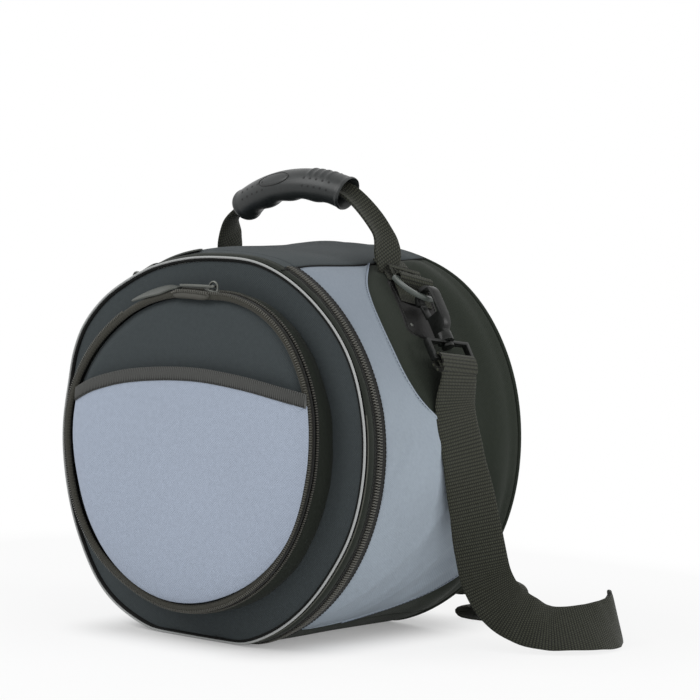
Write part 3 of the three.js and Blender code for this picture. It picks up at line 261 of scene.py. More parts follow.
def smooth_through(knots, x):
    """The height at x of a smooth curve through the knots."""
    last = len(knots) - 1
    i = 0
    while i < last - 1 and x > knots[i + 1][0]:
        i += 1

    def slope(k):
        before, after = knots[max(k - 1, 0)], knots[min(k + 1, last)]
        return (after[1] - before[1]) / (after[0] - before[0])

    (x0, y0), (x1, y1) = knots[i], knots[i + 1]
    span = x1 - x0
    t = clamp((x - x0) / span)
    s = 1 - t
    bend = span * t * s * (slope(i) * s - slope(i + 1) * t)
    return y0 * s * s * (1 + 2 * t) + y1 * t * t * (3 - 2 * t) + bend


def drum_radius(y):
    return mix(FRONT_RADIUS, BACK_RADIUS, (y - FRONT_Y) / (BACK_Y - FRONT_Y))


@functools.lru_cache(maxsize=None)
def swell_stations(tenths):
    """The swell along the drum at an angle given in tenths of a degree."""
    angle = tenths / 10
    lid = smooth_through(LID_SWELL, angle)
    shoulder = smooth_through(SHOULDER_SWELL, angle)
    at_zip = clamp((lid + shoulder) / 2, -ZIP_SWELL_LIMIT, ZIP_SWELL_LIMIT)
    waist = smooth_through(WAIST_SWELL, abs(angle))
    rear = smooth_through(REAR_SWELL, abs(angle))
    return ((FRONT_Y, lid), (LID_TAPE_Y[1], at_zip), (-0.052, shoulder), (0.005, waist), (0.048, waist),
            (PANEL_REAR_Y, rear))


def swell(angle, y):
    """How far the padded skin stands out past the round frame; it is drawn in under the strap anchors."""
    drawn_in = ANCHOR_DENT * hump(abs(wrapped(angle)), 47, 12) * hump(y, 0.018, 0.024)
    return smooth_through(swell_stations(round(wrapped(angle) * 10)), y) - drawn_in


def wrapped(angle):
    """An angle as -180 to 180 degrees."""
    return (angle + 180) % 360 - 180


def on_round(angle, y, reach, ground=0.0003):
    """A point at a reach from the drum's axis, no lower than the ground."""
    turn = math.radians(angle)
    z = drum_radius(y) * (1 - FOOT_SHARE) + reach * math.cos(turn)
    easing = 0.002
    z = (z + ground + math.sqrt((z - ground) ** 2 + easing**2)) / 2
    return Vector((reach * math.sin(turn), y, z))


def on_drum(angle, y, lift):
    """A point round the drum: degrees from the top, and its height over the skin."""
    return on_round(angle, y, drum_radius(y) + swell(angle, y) + lift, max(-lift, 0.0003))


def seam_y(angle):
    return FRONT_Y + (BACK_Y - FRONT_Y) * smooth_through(WAIST_SEAM, angle)


def pocket_swell(angle):
    return smooth_through(POCKET_SWELL, wrapped(angle))


def welt_share(angle):
    """The pocket's band is narrower at its upper right."""
    return 1 - 0.3 * hump(wrapped(angle), 52, 30)


def on_lid(angle, y, reach, ground=0.0):
    """A point at a reach from the lid's centre, no lower than the ground."""
    turn = math.radians(angle)
    return Vector((reach * math.sin(turn), y, max(LID_CENTRE_Z + reach * math.cos(turn), ground)))


def on_pocket(angle, y, lift):
    """A point round the pocket: degrees from the top, and its height over the pocket's wall."""
    spread = mix(0.6, 1, smooth_step(-POCKET_BASE_Y, -POCKET_WALL_Y, -y))
    return on_lid(angle, y, POCKET_RADIUS + lift + pocket_swell(angle) * spread)


def slip_front(x, z):
    """How far forwards the slip pocket stands at a place on it: level with its rim, then domed."""
    angle = clamp(math.degrees(math.atan2(x, z)) % 360, SLIP_EDGE[0][0], SLIP_EDGE[-1][0])
    inside = max(smooth_through(SLIP_EDGE, angle) - math.hypot(x, z), 0)
    return SLIP_RIM_Y - SLIP_WALL - 0.0066 * (1 - math.exp(-inside / 0.013))


def on_side(across, down, lift):
    """A point on the right anchor's slanted line: across it, down it, over the skin."""
    y = ANCHOR_Y - down * math.sin(ANCHOR_SLANT) + across * math.cos(ANCHOR_SLANT)
    arc = down * math.cos(ANCHOR_SLANT) + across * math.sin(ANCHOR_SLANT)
    return on_drum(ANCHOR_ANGLE + math.degrees(arc / drum_radius(ANCHOR_Y)), y, lift)


def on_handle(x, y, z):
    """A point of the upright handle, leant forwards over the drum."""
    return HANDLE_ORIGIN + Matrix.Rotation(HANDLE_LEAN, 3, "X") @ Vector((x, y, z))


def grip_centre(x):
    share = x / GRIP_HALF_LENGTH
    return GRIP_HEIGHT - GRIP_RISE * share * share + GRIP_SKEW * share


def level(y):
    """An edge that keeps one Y all round."""
    return lambda angle: y


def ripple(angle, y, seed, angle_rate=0.05, y_rate=18.0):
    """Soft unevenness of sewn fabric, from -1 to 1."""
    return noise.noise(Vector((angle * angle_rate, y * y_rate, seed)))


def route_points(stops, count):
    """Evenly spaced points along a smooth curve through the stops."""
    knots = [0.0]
    for a, b in zip(stops, stops[1:]):
        knots.append(knots[-1] + max((b - a).length, 1e-9) ** 0.5)
    spots = []
    for i in range(len(stops) - 1):
        p1, p2 = stops[i], stops[i + 1]
        p0 = stops[i - 1] if i else p1 * 2 - p2
        p3 = stops[i + 2] if i + 2 < len(stops) else p2 * 2 - p1
        d0 = (p1 - p0).length ** 0.5
        d1 = knots[i + 1] - knots[i]
        d2 = (p3 - p2).length ** 0.5
        m1 = ((p1 - p0) / d0 - (p2 - p0) / (d0 + d1) + (p2 - p1) / d1) * d1
        m2 = ((p2 - p1) / d1 - (p3 - p1) / (d1 + d2) + (p3 - p2) / d2) * d1
        steps = 24
        for k in range(steps):
            t = k / steps
            spots.append((
                i + t,
                p1 * (2 * t**3 - 3 * t**2 + 1) + m1 * (t**3 - 2 * t**2 + t)
                + p2 * (-2 * t**3 + 3 * t**2) + m2 * (t**3 - t**2),
            ))
    spots.append((len(stops) - 1.0, stops[-1].copy()))
    lengths = [0.0]
    for a, b in zip(spots, spots[1:]):
        lengths.append(lengths[-1] + (b[1] - a[1]).length)
    even = []
    j = 0
    for k in range(count):
        want = lengths[-1] * k / (count - 1)
        while j < len(spots) - 2 and lengths[j + 1] < want:
            j += 1
        span = max(lengths[j + 1] - lengths[j], 1e-12)
        share = clamp((want - lengths[j]) / span)
        (near, start), (far, end) = spots[j], spots[j + 1]
        even.append((mix(near, far, share), start.lerp(end, share)))
    return even


def heading(spots, k):
    """The direction of a line of points at its point k."""
    return (spots[min(k + 1, len(spots) - 1)] - spots[max(k - 1, 0)]).normalized()


def squared_off(value, power):
    """A sine or cosine pushed out towards -1 and 1, for a section with square corners."""
    return math.copysign(abs(value) ** power, value)


def interpolated(values, place):
    """The value at a place between two of a list of vectors."""
    i = min(int(place), len(values) - 2)
    return values[i].lerp(values[i + 1], smooth_step(0, 1, place - i))


# Meshes
def add_object(name, data):
    made = bpy.data.objects.new(name, data)
    bpy.context.scene.collection.objects.link(made)
    return made


def mesh_object(name, points, faces):
    mesh = bpy.data.meshes.new(name)
    mesh.from_pydata(points, [], faces)
    return add_object(name, mesh)


def basic_shape(add, scale=(1, 1, 1), **values):
    """A new basic mesh, alone in the selection, with its scale applied."""
    bpy.ops.object.select_all(action="DESELECT")
    add(**values)
    made = bpy.context.active_object
    made.scale = scale
    bpy.ops.object.transform_apply(location=True, rotation=True, scale=True)
    return made


def edit_all(change, **values):
    """Runs one edit on every point of the active piece."""
    bpy.ops.object.mode_set(mode="EDIT")
    bpy.ops.mesh.select_all(action="SELECT")
    change(**values)
    bpy.ops.object.mode_set(mode="OBJECT")


def only(piece):
    bpy.ops.object.select_all(action="DESELECT")
    bpy.context.view_layer.objects.active = piece
    piece.select_set(True)


def apply_modifier(piece, kind, **values):
    modifier = piece.modifiers.new(kind.title(), kind)
    for key, value in values.items():
        setattr(modifier, key, value)
    only(piece)
    bpy.ops.object.modifier_apply(modifier=modifier.name)
    return piece


def smoothed(piece, angle):
    """Shades a piece smooth, apart from edges sharper than the angle in degrees."""
    only(piece)
    bpy.ops.object.shade_smooth_by_angle(angle=math.radians(angle))
    return piece


def sheet_mesh(name, columns, rows, place, closed_u=False, closed_v=False, uv=None):
    """A sheet of quads. Its UV map measures metres along and across it."""
    grid = [[Vector(place(i / columns, j / rows)) for i in range(columns + 1)] for j in range(rows + 1)]
    along = [0.0]
    middle = grid[rows // 2]
    for a, b in zip(middle, middle[1:]):
        along.append(along[-1] + (b - a).length)
    upward = [0.0]
    for j in range(rows):
        upward.append(upward[-1] + (grid[j + 1][columns // 2] - grid[j][columns // 2]).length)
    wide = columns if closed_u else columns + 1
    high = rows if closed_v else rows + 1
    points = [grid[j][i] for j in range(high) for i in range(wide)]
    faces = []
    corners = []
    for j in range(rows):
        for i in range(columns):
            square = ((i, j), (i + 1, j), (i + 1, j + 1), (i, j + 1))
            faces.append([(b % high) * wide + a % wide for a, b in square])
            corners.append([uv(grid[b][a]) if uv else (along[a], upward[b]) for a, b in square])
    made = mesh_object(name, points, faces)
    layer = made.data.uv_layers.new(name="UVMap")
    for face, spots in zip(made.data.polygons, corners):
        for loop, spot in zip(face.loop_indices, spots):
            layer.data[loop].uv = spot
    return made


def merge_points(piece, distance=1e-6, filled=False, outwards=False):
    """Merges points that coincide; on request fills open ends and turns all faces outwards."""
    soft = bmesh.new()
    soft.from_mesh(piece.data)
    bmesh.ops.remove_doubles(soft, verts=soft.verts, dist=distance)
    if filled:
        loose = [edge for edge in soft.edges if edge.is_boundary]
        bmesh.ops.holes_fill(soft, edges=loose, sides=0)
    if outwards:
        bmesh.ops.recalc_face_normals(soft, faces=soft.faces)
    soft.to_mesh(piece.data)
    soft.free()
    return piece


def recalculated(piece):
    return merge_points(piece, outwards=True)


def closed_strip(name, columns, rows, place):
    """A flattened tube of cloth along u, closed at both ends."""
    strip = sheet_mesh(name, columns, rows, place, closed_v=True)
    return smoothed(merge_points(strip, filled=True, outwards=True), 60)


def facing(piece, outward):
    """Turns a sheet's faces so that they point the way outward(point) says."""
    total = sum(face.normal.dot(outward(face.center)) * face.area for face in piece.data.polygons)
    if total < 0:
        piece.data.flip_normals()
    return piece


def from_axis(point):
    return Vector((point.x, 0, point.z - LID_CENTRE_Z))


def to_front(_):
    return Vector((0, -1, 0))


def to_back(_):
    return Vector((0, 1, 0))


def thickened(piece, thickness, rounds):
    """Gives a sheet its thickness, inwards, and rounds its edges."""
    apply_modifier(piece, "SOLIDIFY", thickness=thickness, offset=-1, use_even_offset=True)
    if rounds:
        apply_modifier(piece, "SUBSURF", levels=rounds, render_levels=rounds)
    return smoothed(piece, 50)


def tube(name, spots, radius, sides, closed=False, angle=60):
    """A round tube along points; angle is the sharpest edge that is shaded smooth."""
    count = len(spots)
    points = []
    side = None
    for k, spot in enumerate(spots):
        ahead = spots[(k + 1) % count] if closed or k + 1 < count else spot
        behind = spots[k - 1] if closed or k else spot
        along = (ahead - behind).normalized()
        if side is None:
            side = along.orthogonal()
        side = (side - along * side.dot(along)).normalized()
        up = along.cross(side)
        for s in range(sides):
            turn = 2 * math.pi * s / sides
            points.append(spot + side * (radius * math.cos(turn)) + up * (radius * math.sin(turn)))
    faces = []
    for k in range(count if closed else count - 1):
        for s in range(sides):
            a, b = k * sides, ((k + 1) % count) * sides
            t = (s + 1) % sides
            faces.append([a + s, a + t, b + t, b + s])
    if not closed:
        faces.append(list(range(sides))[::-1])
        faces.append([(count - 1) * sides + s for s in range(sides)])
    return smoothed(recalculated(mesh_object(name, points, faces)), angle)


def repeated(name, template, places):
    """One mesh of many copies of a small shape; places are 4x4 matrices."""
    points, faces = [], []
    for place in places:
        start = len(points)
        points.extend(place @ point for point in template[0])
        faces.extend([start + i for i in face] for face in template[1])
    return mesh_object(name, points, faces)


def template_of(piece):
    """The points and faces of a shape, which is then deleted."""
    found = ([v.co.copy() for v in piece.data.vertices], [list(f.vertices) for f in piece.data.polygons])
    bpy.data.objects.remove(piece)
    return found


def seat(origin, along, outward):
    """A placement: local X along, local Z outwards."""
    x = along.normalized()
    z = (outward - x * outward.dot(x)).normalized()
    y = z.cross(x)
    return Matrix((
        (x.x, y.x, z.x, origin.x), (x.y, y.y, z.y, origin.y), (x.z, y.z, z.z, origin.z), (0, 0, 0, 1),
    ))


def joined(name, pieces):
    """Several pieces as one."""
    only(pieces[0])
    for piece in pieces:
        piece.select_set(True)
    bpy.ops.object.join()
    whole = bpy.context.view_layer.objects.active
    whole.name = name
    return whole


def mirrored(piece, name):
    """The same piece on the other side of the drum."""
    mesh = piece.data.copy()
    mesh.transform(Matrix.Scale(-1, 4, Vector((1, 0, 0))))
    mesh.flip_normals()
    return add_object(name, mesh)


def finish(piece, material, rides="body", nodes=()):
    """Material, body and the frame nodes that the piece stands for."""
    piece.data.materials.clear()
    piece.data.materials.append(material)
    if isinstance(rides, str):
        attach(piece, rides)
    else:
        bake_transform(piece)
    if nodes:
        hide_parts(*nodes)
    return piece


def sewn(sheet, outward, thickness, material, rides, nodes=()):
    """Faces a sheet outwards, gives it its thickness and finishes it."""
    thickened(facing(sheet, outward), thickness, 0)
    return finish(sheet, material, rides, nodes)


def finish_pair(right, material, node=None):
    """Finishes a piece on the drum's right side, and its mirror image on the left."""
    left = mirrored(right, right.name.replace("right", "left"))
    for piece, side in ((left, "left"), (right, "right")):
        finish(piece, material, "body", [node + side] if node else ())


def stitch_shape(length, radius):
    """A short thread along X with rounded ends."""
    thread = basic_shape(bpy.ops.mesh.primitive_cylinder_add, vertices=6, radius=radius, depth=length,
                         rotation=(0, math.pi / 2, 0))
    edit_all(bpy.ops.mesh.bevel, offset=radius * 0.6, segments=1)
    return template_of(thread)


def stitched(name, spots, outward, pitch=STITCH_PITCH, length=0.0023, radius=0.00035):
    """Stitches along a line of points; outward gives the surface direction at each."""
    template = stitch_shape(length, radius)
    count = max(int(sum((b - a).length for a, b in zip(spots, spots[1:])) / pitch), 2)
    even = route_points(spots, count + 1)
    places = []
    for (_, a), (_, b) in zip(even, even[1:]):
        middle = (a + b) / 2
        away = outward(middle).normalized()
        places.append(seat(middle + away * STITCH_LIFT, b - a, away))
    return smoothed(repeated(name, template, places), 60)


# Materials
def linear(red, green, blue):
    """A colour written as a screen shows it, from 0 to 255."""
    def channel(value):
        share = value / 255
        return share / 12.92 if share <= 0.04045 else ((share + 0.055) / 1.055) ** 2.4
    return (channel(red), channel(green), channel(blue), 1.0)


def fill_sockets(tree, node, sockets):
    """Sets a node's inputs by name or number; one that is given a socket is linked to it."""
    for key, value in sockets.items():
        if isinstance(value, bpy.types.NodeSocket):
            tree.links.new(value, node.inputs[key])
        else:
            node.inputs[key].default_value = value


def add_node(tree, kind, sockets=None, **values):
    made = tree.nodes.new("ShaderNode" + kind)
    for key, value in values.items():
        setattr(made, key, value)
    fill_sockets(tree, made, sockets or {})
    return made


def calculate(tree, operation, *terms):
    return add_node(tree, "Math", dict(enumerate(terms)), operation=operation).outputs[0]


def eased(tree, value, low, high, start, end):
    """From start to end, smoothly, as the value goes from low to high."""
    sockets = {0: value, 1: low, 2: high, 3: start, 4: end}
    return add_node(tree, "MapRange", sockets, interpolation_type="SMOOTHSTEP").outputs[0]


def blend_colour(tree, share, first, second, kind="MIX"):
    sockets = {0: share, 6: first, 7: second}
    return add_node(tree, "Mix", sockets, data_type="RGBA", blend_type=kind).outputs[2]


def new_group(name, inputs, outputs):
    """An empty node group with named sockets: its tree, its inputs and its output node."""
    tree = bpy.data.node_groups.new(name, "ShaderNodeTree")
    for label, kind, value in inputs:
        socket = tree.interface.new_socket(label, in_out="INPUT", socket_type="NodeSocket" + kind)
        socket.default_value = value
    for label, kind in outputs:
        tree.interface.new_socket(label, in_out="OUTPUT", socket_type="NodeSocket" + kind)
    return tree, tree.nodes.new("NodeGroupInput").outputs, tree.nodes.new("NodeGroupOutput")


def weave_group():
    """Plain weave: crossing threads, painted lighter on their crowns and darker in the gaps, as painted light
    and painted shade.
    """
    tree, given, output = new_group(
        "Plain weave",
        (("Threads", "Float", 1200.0), ("Thread colour", "Color", (0.1, 0.1, 0.1, 1)),
         ("Gap colour", "Color", (0.05, 0.05, 0.05, 1)), ("Slub", "Float", 0.4)),
        (("Colour", "Color"), ("Height", "Float")),
    )
    place = add_node(tree, "UVMap").outputs[0]
    split = add_node(tree, "SeparateXYZ", {0: place}).outputs
    rate = calculate(tree, "MULTIPLY", given["Threads"], math.pi)
    slub = add_node(tree, "TexNoise", {"Vector": place, "Scale": 260.0, "Detail": 2.0})
    drift = calculate(tree, "MULTIPLY", slub.outputs[0], given["Slub"])
    warp = calculate(tree, "SINE", calculate(tree, "MULTIPLY_ADD", split[0], rate, drift))
    weft = calculate(tree, "SINE", calculate(tree, "MULTIPLY_ADD", split[1], rate, drift))
    height = calculate(tree, "MULTIPLY_ADD", calculate(tree, "MULTIPLY", warp, weft), 0.5, 0.5)
    uneven = calculate(tree, "MULTIPLY_ADD", slub.outputs[0], 0.5, 0.1)
    share = calculate(tree, "MULTIPLY_ADD", height, 0.6, uneven)
    tree.links.new(blend_colour(tree, share, given["Gap colour"], given["Thread colour"]), output.inputs[0])
    tree.links.new(height, output.inputs[1])
    return tree


def webbing_group():
    """Ribbed webbing: rows across it, each of small upright bumps, painted lighter on their crowns and darker
    between them, as painted light and painted shade.
    """
    tree, given, output = new_group(
        "Ribbed webbing",
        (("Row pitch", "Float", 0.0028), ("Bump pitch", "Float", 0.0016),
         ("Thread colour", "Color", (0.03, 0.03, 0.03, 1)), ("Gap colour", "Color", (0.01, 0.01, 0.01, 1))),
        (("Colour", "Color"), ("Height", "Float")),
    )
    place = add_node(tree, "UVMap").outputs[0]
    split = add_node(tree, "SeparateXYZ", {0: place}).outputs
    row = calculate(tree, "DIVIDE", split[0], given["Row pitch"])
    shift = calculate(tree, "MULTIPLY", calculate(tree, "FLOOR", row), 0.5)
    bump = calculate(tree, "ADD", calculate(tree, "DIVIDE", split[1], given["Bump pitch"]), shift)

    def wave(place):
        turn = calculate(tree, "MULTIPLY", place, math.pi)
        return calculate(tree, "ABSOLUTE", calculate(tree, "SINE", turn))

    crown = calculate(tree, "MULTIPLY_ADD", calculate(tree, "POWER", wave(bump), 0.8), 0.72, 0.28)
    height = calculate(tree, "MULTIPLY", calculate(tree, "POWER", wave(row), 0.5), crown)
    lit = calculate(tree, "POWER", height, 1.7)
    tree.links.new(blend_colour(tree, lit, given["Gap colour"], given["Thread colour"]), output.inputs[0])
    tree.links.new(height, output.inputs[1])
    return tree


def use_group():
    """Handling marks: cloudy dust, rubbed patches and a slow change of tone."""
    tree, given, output = new_group(
        "Handling marks",
        (("Colour", "Color", (0.1, 0.1, 0.1, 1)), ("Dust colour", "Color", (0.4, 0.4, 0.38, 1)),
         ("Dust", "Float", 0.06), ("Tone", "Float", 0.12), ("Scale", "Float", 14.0)),
        (("Colour", "Color"), ("Roughness", "Float"), ("Height", "Float")),
    )
    place = add_node(tree, "TexCoord").outputs["Object"]
    slow = add_node(tree, "TexNoise", {"Vector": place, "Scale": given["Scale"], "Detail": 3.0}).outputs[0]
    fine = add_node(tree, "TexNoise", {"Vector": place, "Scale": 420.0, "Detail": 4.0}).outputs[0]
    dusty = calculate(tree, "MULTIPLY", calculate(tree, "POWER", fine, 2.0), given["Dust"])
    tone = calculate(tree, "MULTIPLY_ADD", calculate(tree, "SUBTRACT", slow, 0.5), given["Tone"], 1.0)
    grey = add_node(tree, "CombineColor", {0: tone, 1: tone, 2: tone}).outputs[0]
    toned = blend_colour(tree, 1.0, given["Colour"], grey, "MULTIPLY")
    tree.links.new(blend_colour(tree, dusty, toned, given["Dust colour"]), output.inputs[0])
    rough = calculate(tree, "MULTIPLY_ADD", calculate(tree, "SUBTRACT", slow, 0.5), 0.3, 0.62)
    tree.links.new(calculate(tree, "MULTIPLY_ADD", fine, 0.12, rough), output.inputs[1])
    tree.links.new(calculate(tree, "MULTIPLY_ADD", fine, 0.4, slow), output.inputs[2])
    return tree


def group(name, maker):
    return bpy.data.node_groups.get(name) or maker()


def blank_tree(owner):
    """The emptied node tree of a material or of the surroundings."""
    owner.use_nodes = True
    owner.node_tree.nodes.clear()
    return owner.node_tree


def start_material(name):
    made = bpy.data.materials.new(name)
    tree = blank_tree(made)
    shader = add_node(tree, "BsdfPrincipled")
    add_node(tree, "OutputMaterial", {0: shader.outputs[0]})
    return made, tree, shader


def used(tree, shader, colour, roughness, gloss, dust, tone, scale):
    """Gives the shader a colour with handling marks over it, and returns the marks' outputs."""
    sockets = {"Colour": colour, "Dust": dust, "Tone": tone, "Scale": scale, "Dust colour": DUST_COLOUR}
    marks = add_node(tree, "Group", sockets, node_tree=group("Handling marks", use_group)).outputs
    rough = calculate(tree, "ADD", marks["Roughness"], roughness - MEAN_ROUGHNESS)
    fill_sockets(tree, shader, {"Base Color": marks["Colour"], "Roughness": rough})
    fill_sockets(tree, shader, {"Specular IOR Level": gloss})
    return marks


def add_bump(tree, shader, height, strength, distance):
    bump = add_node(tree, "Bump", {"Strength": strength, "Distance": distance, "Height": height})
    tree.links.new(bump.outputs[0], shader.inputs["Normal"])


def cloth(name, thread, gap, threads=1150.0, depth=0.00022, roughness=0.8, tone=0.16, slub=0.4, shade=0.0):
    """Woven fabric, nearly without gloss; shade is painted shade that darkens its upper part."""
    made, tree, shader = start_material(name)
    sockets = {"Threads": threads, "Thread colour": thread, "Gap colour": gap, "Slub": slub}
    weave = add_node(tree, "Group", sockets, node_tree=group("Plain weave", weave_group)).outputs
    colour = weave["Colour"]
    # Painted shade: darker towards the top, by height between 0.17 and 0.27 m
    if shade:
        place = add_node(tree, "TexCoord").outputs["Object"]
        height = add_node(tree, "SeparateXYZ", {0: place}).outputs[2]
        colour = blend_colour(tree, eased(tree, height, 0.17, 0.27, 0.0, shade), colour, PAINTED_SHADE_COLOUR)
    marks = used(tree, shader, colour, roughness, CLOTH_GLOSS, 0.03, tone, 14.0)
    fill_sockets(tree, shader, {"Sheen Weight": 0.04, "Sheen Roughness": 0.45})
    relief = calculate(tree, "MULTIPLY_ADD", marks["Height"], 0.35, weave["Height"])
    add_bump(tree, shader, relief, 0.6, depth)
    return made


def ribbed(name, thread, gap, row, bump, depth=0.0005):
    """Webbing or binding tape."""
    made, tree, shader = start_material(name)
    sockets = {"Row pitch": row, "Bump pitch": bump, "Thread colour": thread, "Gap colour": gap}
    ribs = add_node(tree, "Group", sockets, node_tree=group("Ribbed webbing", webbing_group)).outputs
    used(tree, shader, ribs["Colour"], 0.75, CLOTH_GLOSS, 0.05, 0.12, 30.0)
    fill_sockets(tree, shader, {"Sheen Weight": 0.1})
    add_bump(tree, shader, ribs["Height"], 0.8, depth)
    return made


def moulded(name, colour, roughness, grain, scale=1500.0, coat=0.0, metallic=0.0, gloss=0.5):
    """Moulded plastic, rubber, leatherette or cast metal with a fine grain."""
    made, tree, shader = start_material(name)
    marks = used(tree, shader, colour, roughness, gloss, 0.05, 0.14, 40.0)
    fill_sockets(tree, shader, {"Metallic": metallic, "Coat Weight": coat, "Coat Roughness": 0.3})
    place = add_node(tree, "TexCoord").outputs["Object"]
    cells = add_node(tree, "TexVoronoi", {"Vector": place, "Scale": scale}, feature="SMOOTH_F1").outputs[0]
    relief = calculate(tree, "MULTIPLY_ADD", marks["Height"], 0.3, cells)
    add_bump(tree, shader, relief, 0.5, grain)
    return made


class Finishes:
    """The materials, made once and shared by every piece."""

    def __init__(self, tones):
        black, side, blue, pocket = tones
        # Each weave's thread and gap colours are lighter and darker copies: painted light on the threads,
        # painted shade in the gaps
        self.black = cloth("Black oxford", scaled(black, 1.12), scaled(black, 0.72))
        self.side = cloth("Black side oxford", scaled(side, 1.12), scaled(side, 0.7), roughness=0.84)
        # Painted shade: a darker copy of the side cloth for the lid's gusset and the pocket's wall, which
        # face sideways
        self.gusset = cloth("Gusset oxford painted shade", scaled(side, 0.8), scaled(side, 0.45), roughness=0.7)
        # The coloured panels get painted shade towards their top
        self.blue = cloth("Blue side oxford", scaled(blue, 1.12), scaled(blue, 0.82), tone=0.3, shade=0.22)
        # Painted highlight: a lighter blue for the fold along the waist seam
        self.blue_edge_highlight = cloth("Blue hem painted highlight", linear(160, 172, 188), linear(120, 130, 146), 900.0, 0.0001)
        self.pocket = cloth("Blue pocket oxford", scaled(pocket, 1.1), scaled(pocket, 0.72), 1050.0,
                            tone=0.08, slub=3.0)
        self.piping = cloth("Light piping", linear(184, 186, 185), linear(130, 132, 132), 900.0, 0.0001)
        self.hem = cloth("Grey hem cord", linear(92, 93, 86), linear(60, 61, 56), 900.0, 0.0001)
        # Painted shade: near-black cloth for dark tubes laid where seams and grooves are in shade
        self.seam = cloth("Painted seam shade", linear(16, 17, 16), linear(8, 9, 8), 900.0, 0.0001)
        self.tape = ribbed("Zip tape", linear(27, 27, 24), linear(8, 8, 7), 0.0012, 0.0012, 0.0002)
        self.band = ribbed("Pocket band", linear(70, 69, 61), linear(34, 33, 28), 0.0012, 0.02, 0.0003)
        self.end = moulded("Zip end tape", linear(62, 61, 54), 0.6, 0.0001, 1800.0)
        self.coil = moulded("Zip coil", linear(84, 83, 77), 0.45, 0.00003, 2500.0, gloss=0.3)
        self.binding = ribbed("Ribbed binding", linear(92, 93, 91), linear(38, 38, 36), 0.0009, 0.02, 0.0004)
        self.webbing = ribbed("Strap webbing", linear(64, 66, 54), linear(10, 11, 9), 0.0026, 0.0016)
        self.leather = moulded("Leatherette", linear(16, 15, 14), 0.45, 0.0002, 900.0, gloss=0.18)
        self.tab = moulded("Pull leather", linear(62, 66, 61), 0.5, 0.0001, 1400.0)
        self.thread = moulded("Dark thread", linear(28, 29, 27), 0.7, 0.00003, 3000.0)
        self.blue_thread = moulded("Blue thread", linear(84, 92, 106), 0.7, 0.00003, 3000.0)
        self.grip = moulded("Grip rubber", linear(24, 28, 28), 0.38, 0.00006, 2600.0, gloss=0.42)
        # Painted shade: near-black for the grip's small holes and the outline of its pad
        self.hollow_shade = moulded("Grip hollow shade", linear(8, 9, 9), 0.7, 0.00003, 2600.0)
        self.grey = moulded("Grey plastic", linear(82, 88, 84), 0.32, 0.00005)
        self.plastic = moulded("Black plastic", linear(15, 17, 15), 0.36, 0.00004, gloss=0.2)
        self.metal = moulded("Zip metal", linear(96, 98, 94), 0.36, 0.00003, 1800.0, metallic=0.85)
        self.foam = moulded("Foam", linear(232, 232, 226), 0.9, 0.0004, 700.0)
        self.liner = moulded("Liner", linear(196, 200, 202), 0.42, 0.0002, 120.0, coat=0.2)


def scaled(colour, share):
    """A colour made lighter or darker."""
    return tuple(clamp(channel * share) for channel in colour[:3]) + (1.0,)


def finishes():
    if not hasattr(finishes, "made"):
        look = bpy.context.scene.cooler_bag
        finishes.made = Finishes((look.black, look.side_black, look.side_blue, look.pocket_blue))
    return finishes.made


# Panels of the drum
def drum_panel(name, angles, front, rear, columns, rows, seed, shape=None, puff=0.0012, folds=0.0006,
               rim=-0.0007, hemmed=False):
    """A sewn panel of the drum's skin, puffed between its seams; a hemmed one lies over the next."""
    arc = math.radians(1) * 0.15

    def place(u, v):
        angle = mix(angles[0], angles[1], u)
        near, far = front(angle), rear(angle)
        y = mix(near, far, 1 - (1 - v) ** 1.5 if hemmed else v)
        sides = [y - near, (angle - angles[0]) * arc, (angles[1] - angle) * arc]
        if not hemmed:
            sides.append(far - y)
        inside = 1 - math.exp(-max(min(sides), 0) / 0.007)
        lift = (puff + folds * ripple(angle, y, seed)) * inside + rim * (1 - inside)
        if shape:
            lift += shape(angle, y) * inside
        if hemmed:
            lift += 0.0007 * (1 - smooth_step(HEM_WIDTH * 0.8, HEM_WIDTH, far - y))
        return on_drum(angle, y, lift)

    panel = facing(sheet_mesh(name, columns, rows, place), from_axis)
    return thickened(panel, CLOTH_THICKNESS, 1)


def rear_ridge(_, y):
    """The padding's edge shows as a ridge before the back piping."""
    return 0.0024 * hump(y, 0.064, 0.011) - 0.0016 * hump(y, 0.08, 0.005)


def top_folds(angle, y):
    """The top panel lies unevenly under the handle."""
    return rear_ridge(angle, y) * 0.5 + 0.0012 * noise.noise(Vector((angle * 0.06, y * 26, 9.0)))


def side_creases(angle, y):
    """Slanting folds in the lower part of the coloured panels."""
    low = smooth_step(60, 95, angle) * (1 - smooth_step(125, 148, angle))
    fold = noise.noise(Vector((y * 85 + angle * 0.17, angle * 0.02, 5.0)))
    return 0.003 * fold * low


def edge_spots(y, depth, radius, angles=(0, 360)):
    """Points for a cord round the drum, its middle at a depth in the skin and clear of the ground."""
    count = round((angles[1] - angles[0]) / 1.5)
    spots = []
    for k in range(count):
        angle = mix(angles[0], angles[1], k / count)
        spots.append(on_round(angle, y, drum_radius(y) + swell(angle, y) - depth, radius))
    return spots


def polar_sheet(name, rings, steps, place):
    """A round sheet with a closed middle; its weave runs straight across it."""
    made = sheet_mesh(name, steps, rings, place, closed_u=True, uv=lambda p: (p.x, p.z))
    return merge_points(made)


class OBJECT_OT_bag_camera(bpy.types.Operator):
    """Sets the camera to the photograph's view"""

    bl_idname = "object.bag_camera"
    bl_label = "Camera"

    def execute(self, context):
        lens = bpy.data.cameras.new("Photo view")
        lens.lens = LENS
        lens.sensor_width = SENSOR_WIDTH
        lens.clip_end = 50
        view = add_object("Photo view", lens)
        turn = Matrix(CAMERA_AXES).transposed().to_4x4()
        view.matrix_world = Matrix.Translation(CAMERA_PLACE) @ turn
        context.scene.camera = view
        return {"FINISHED"}


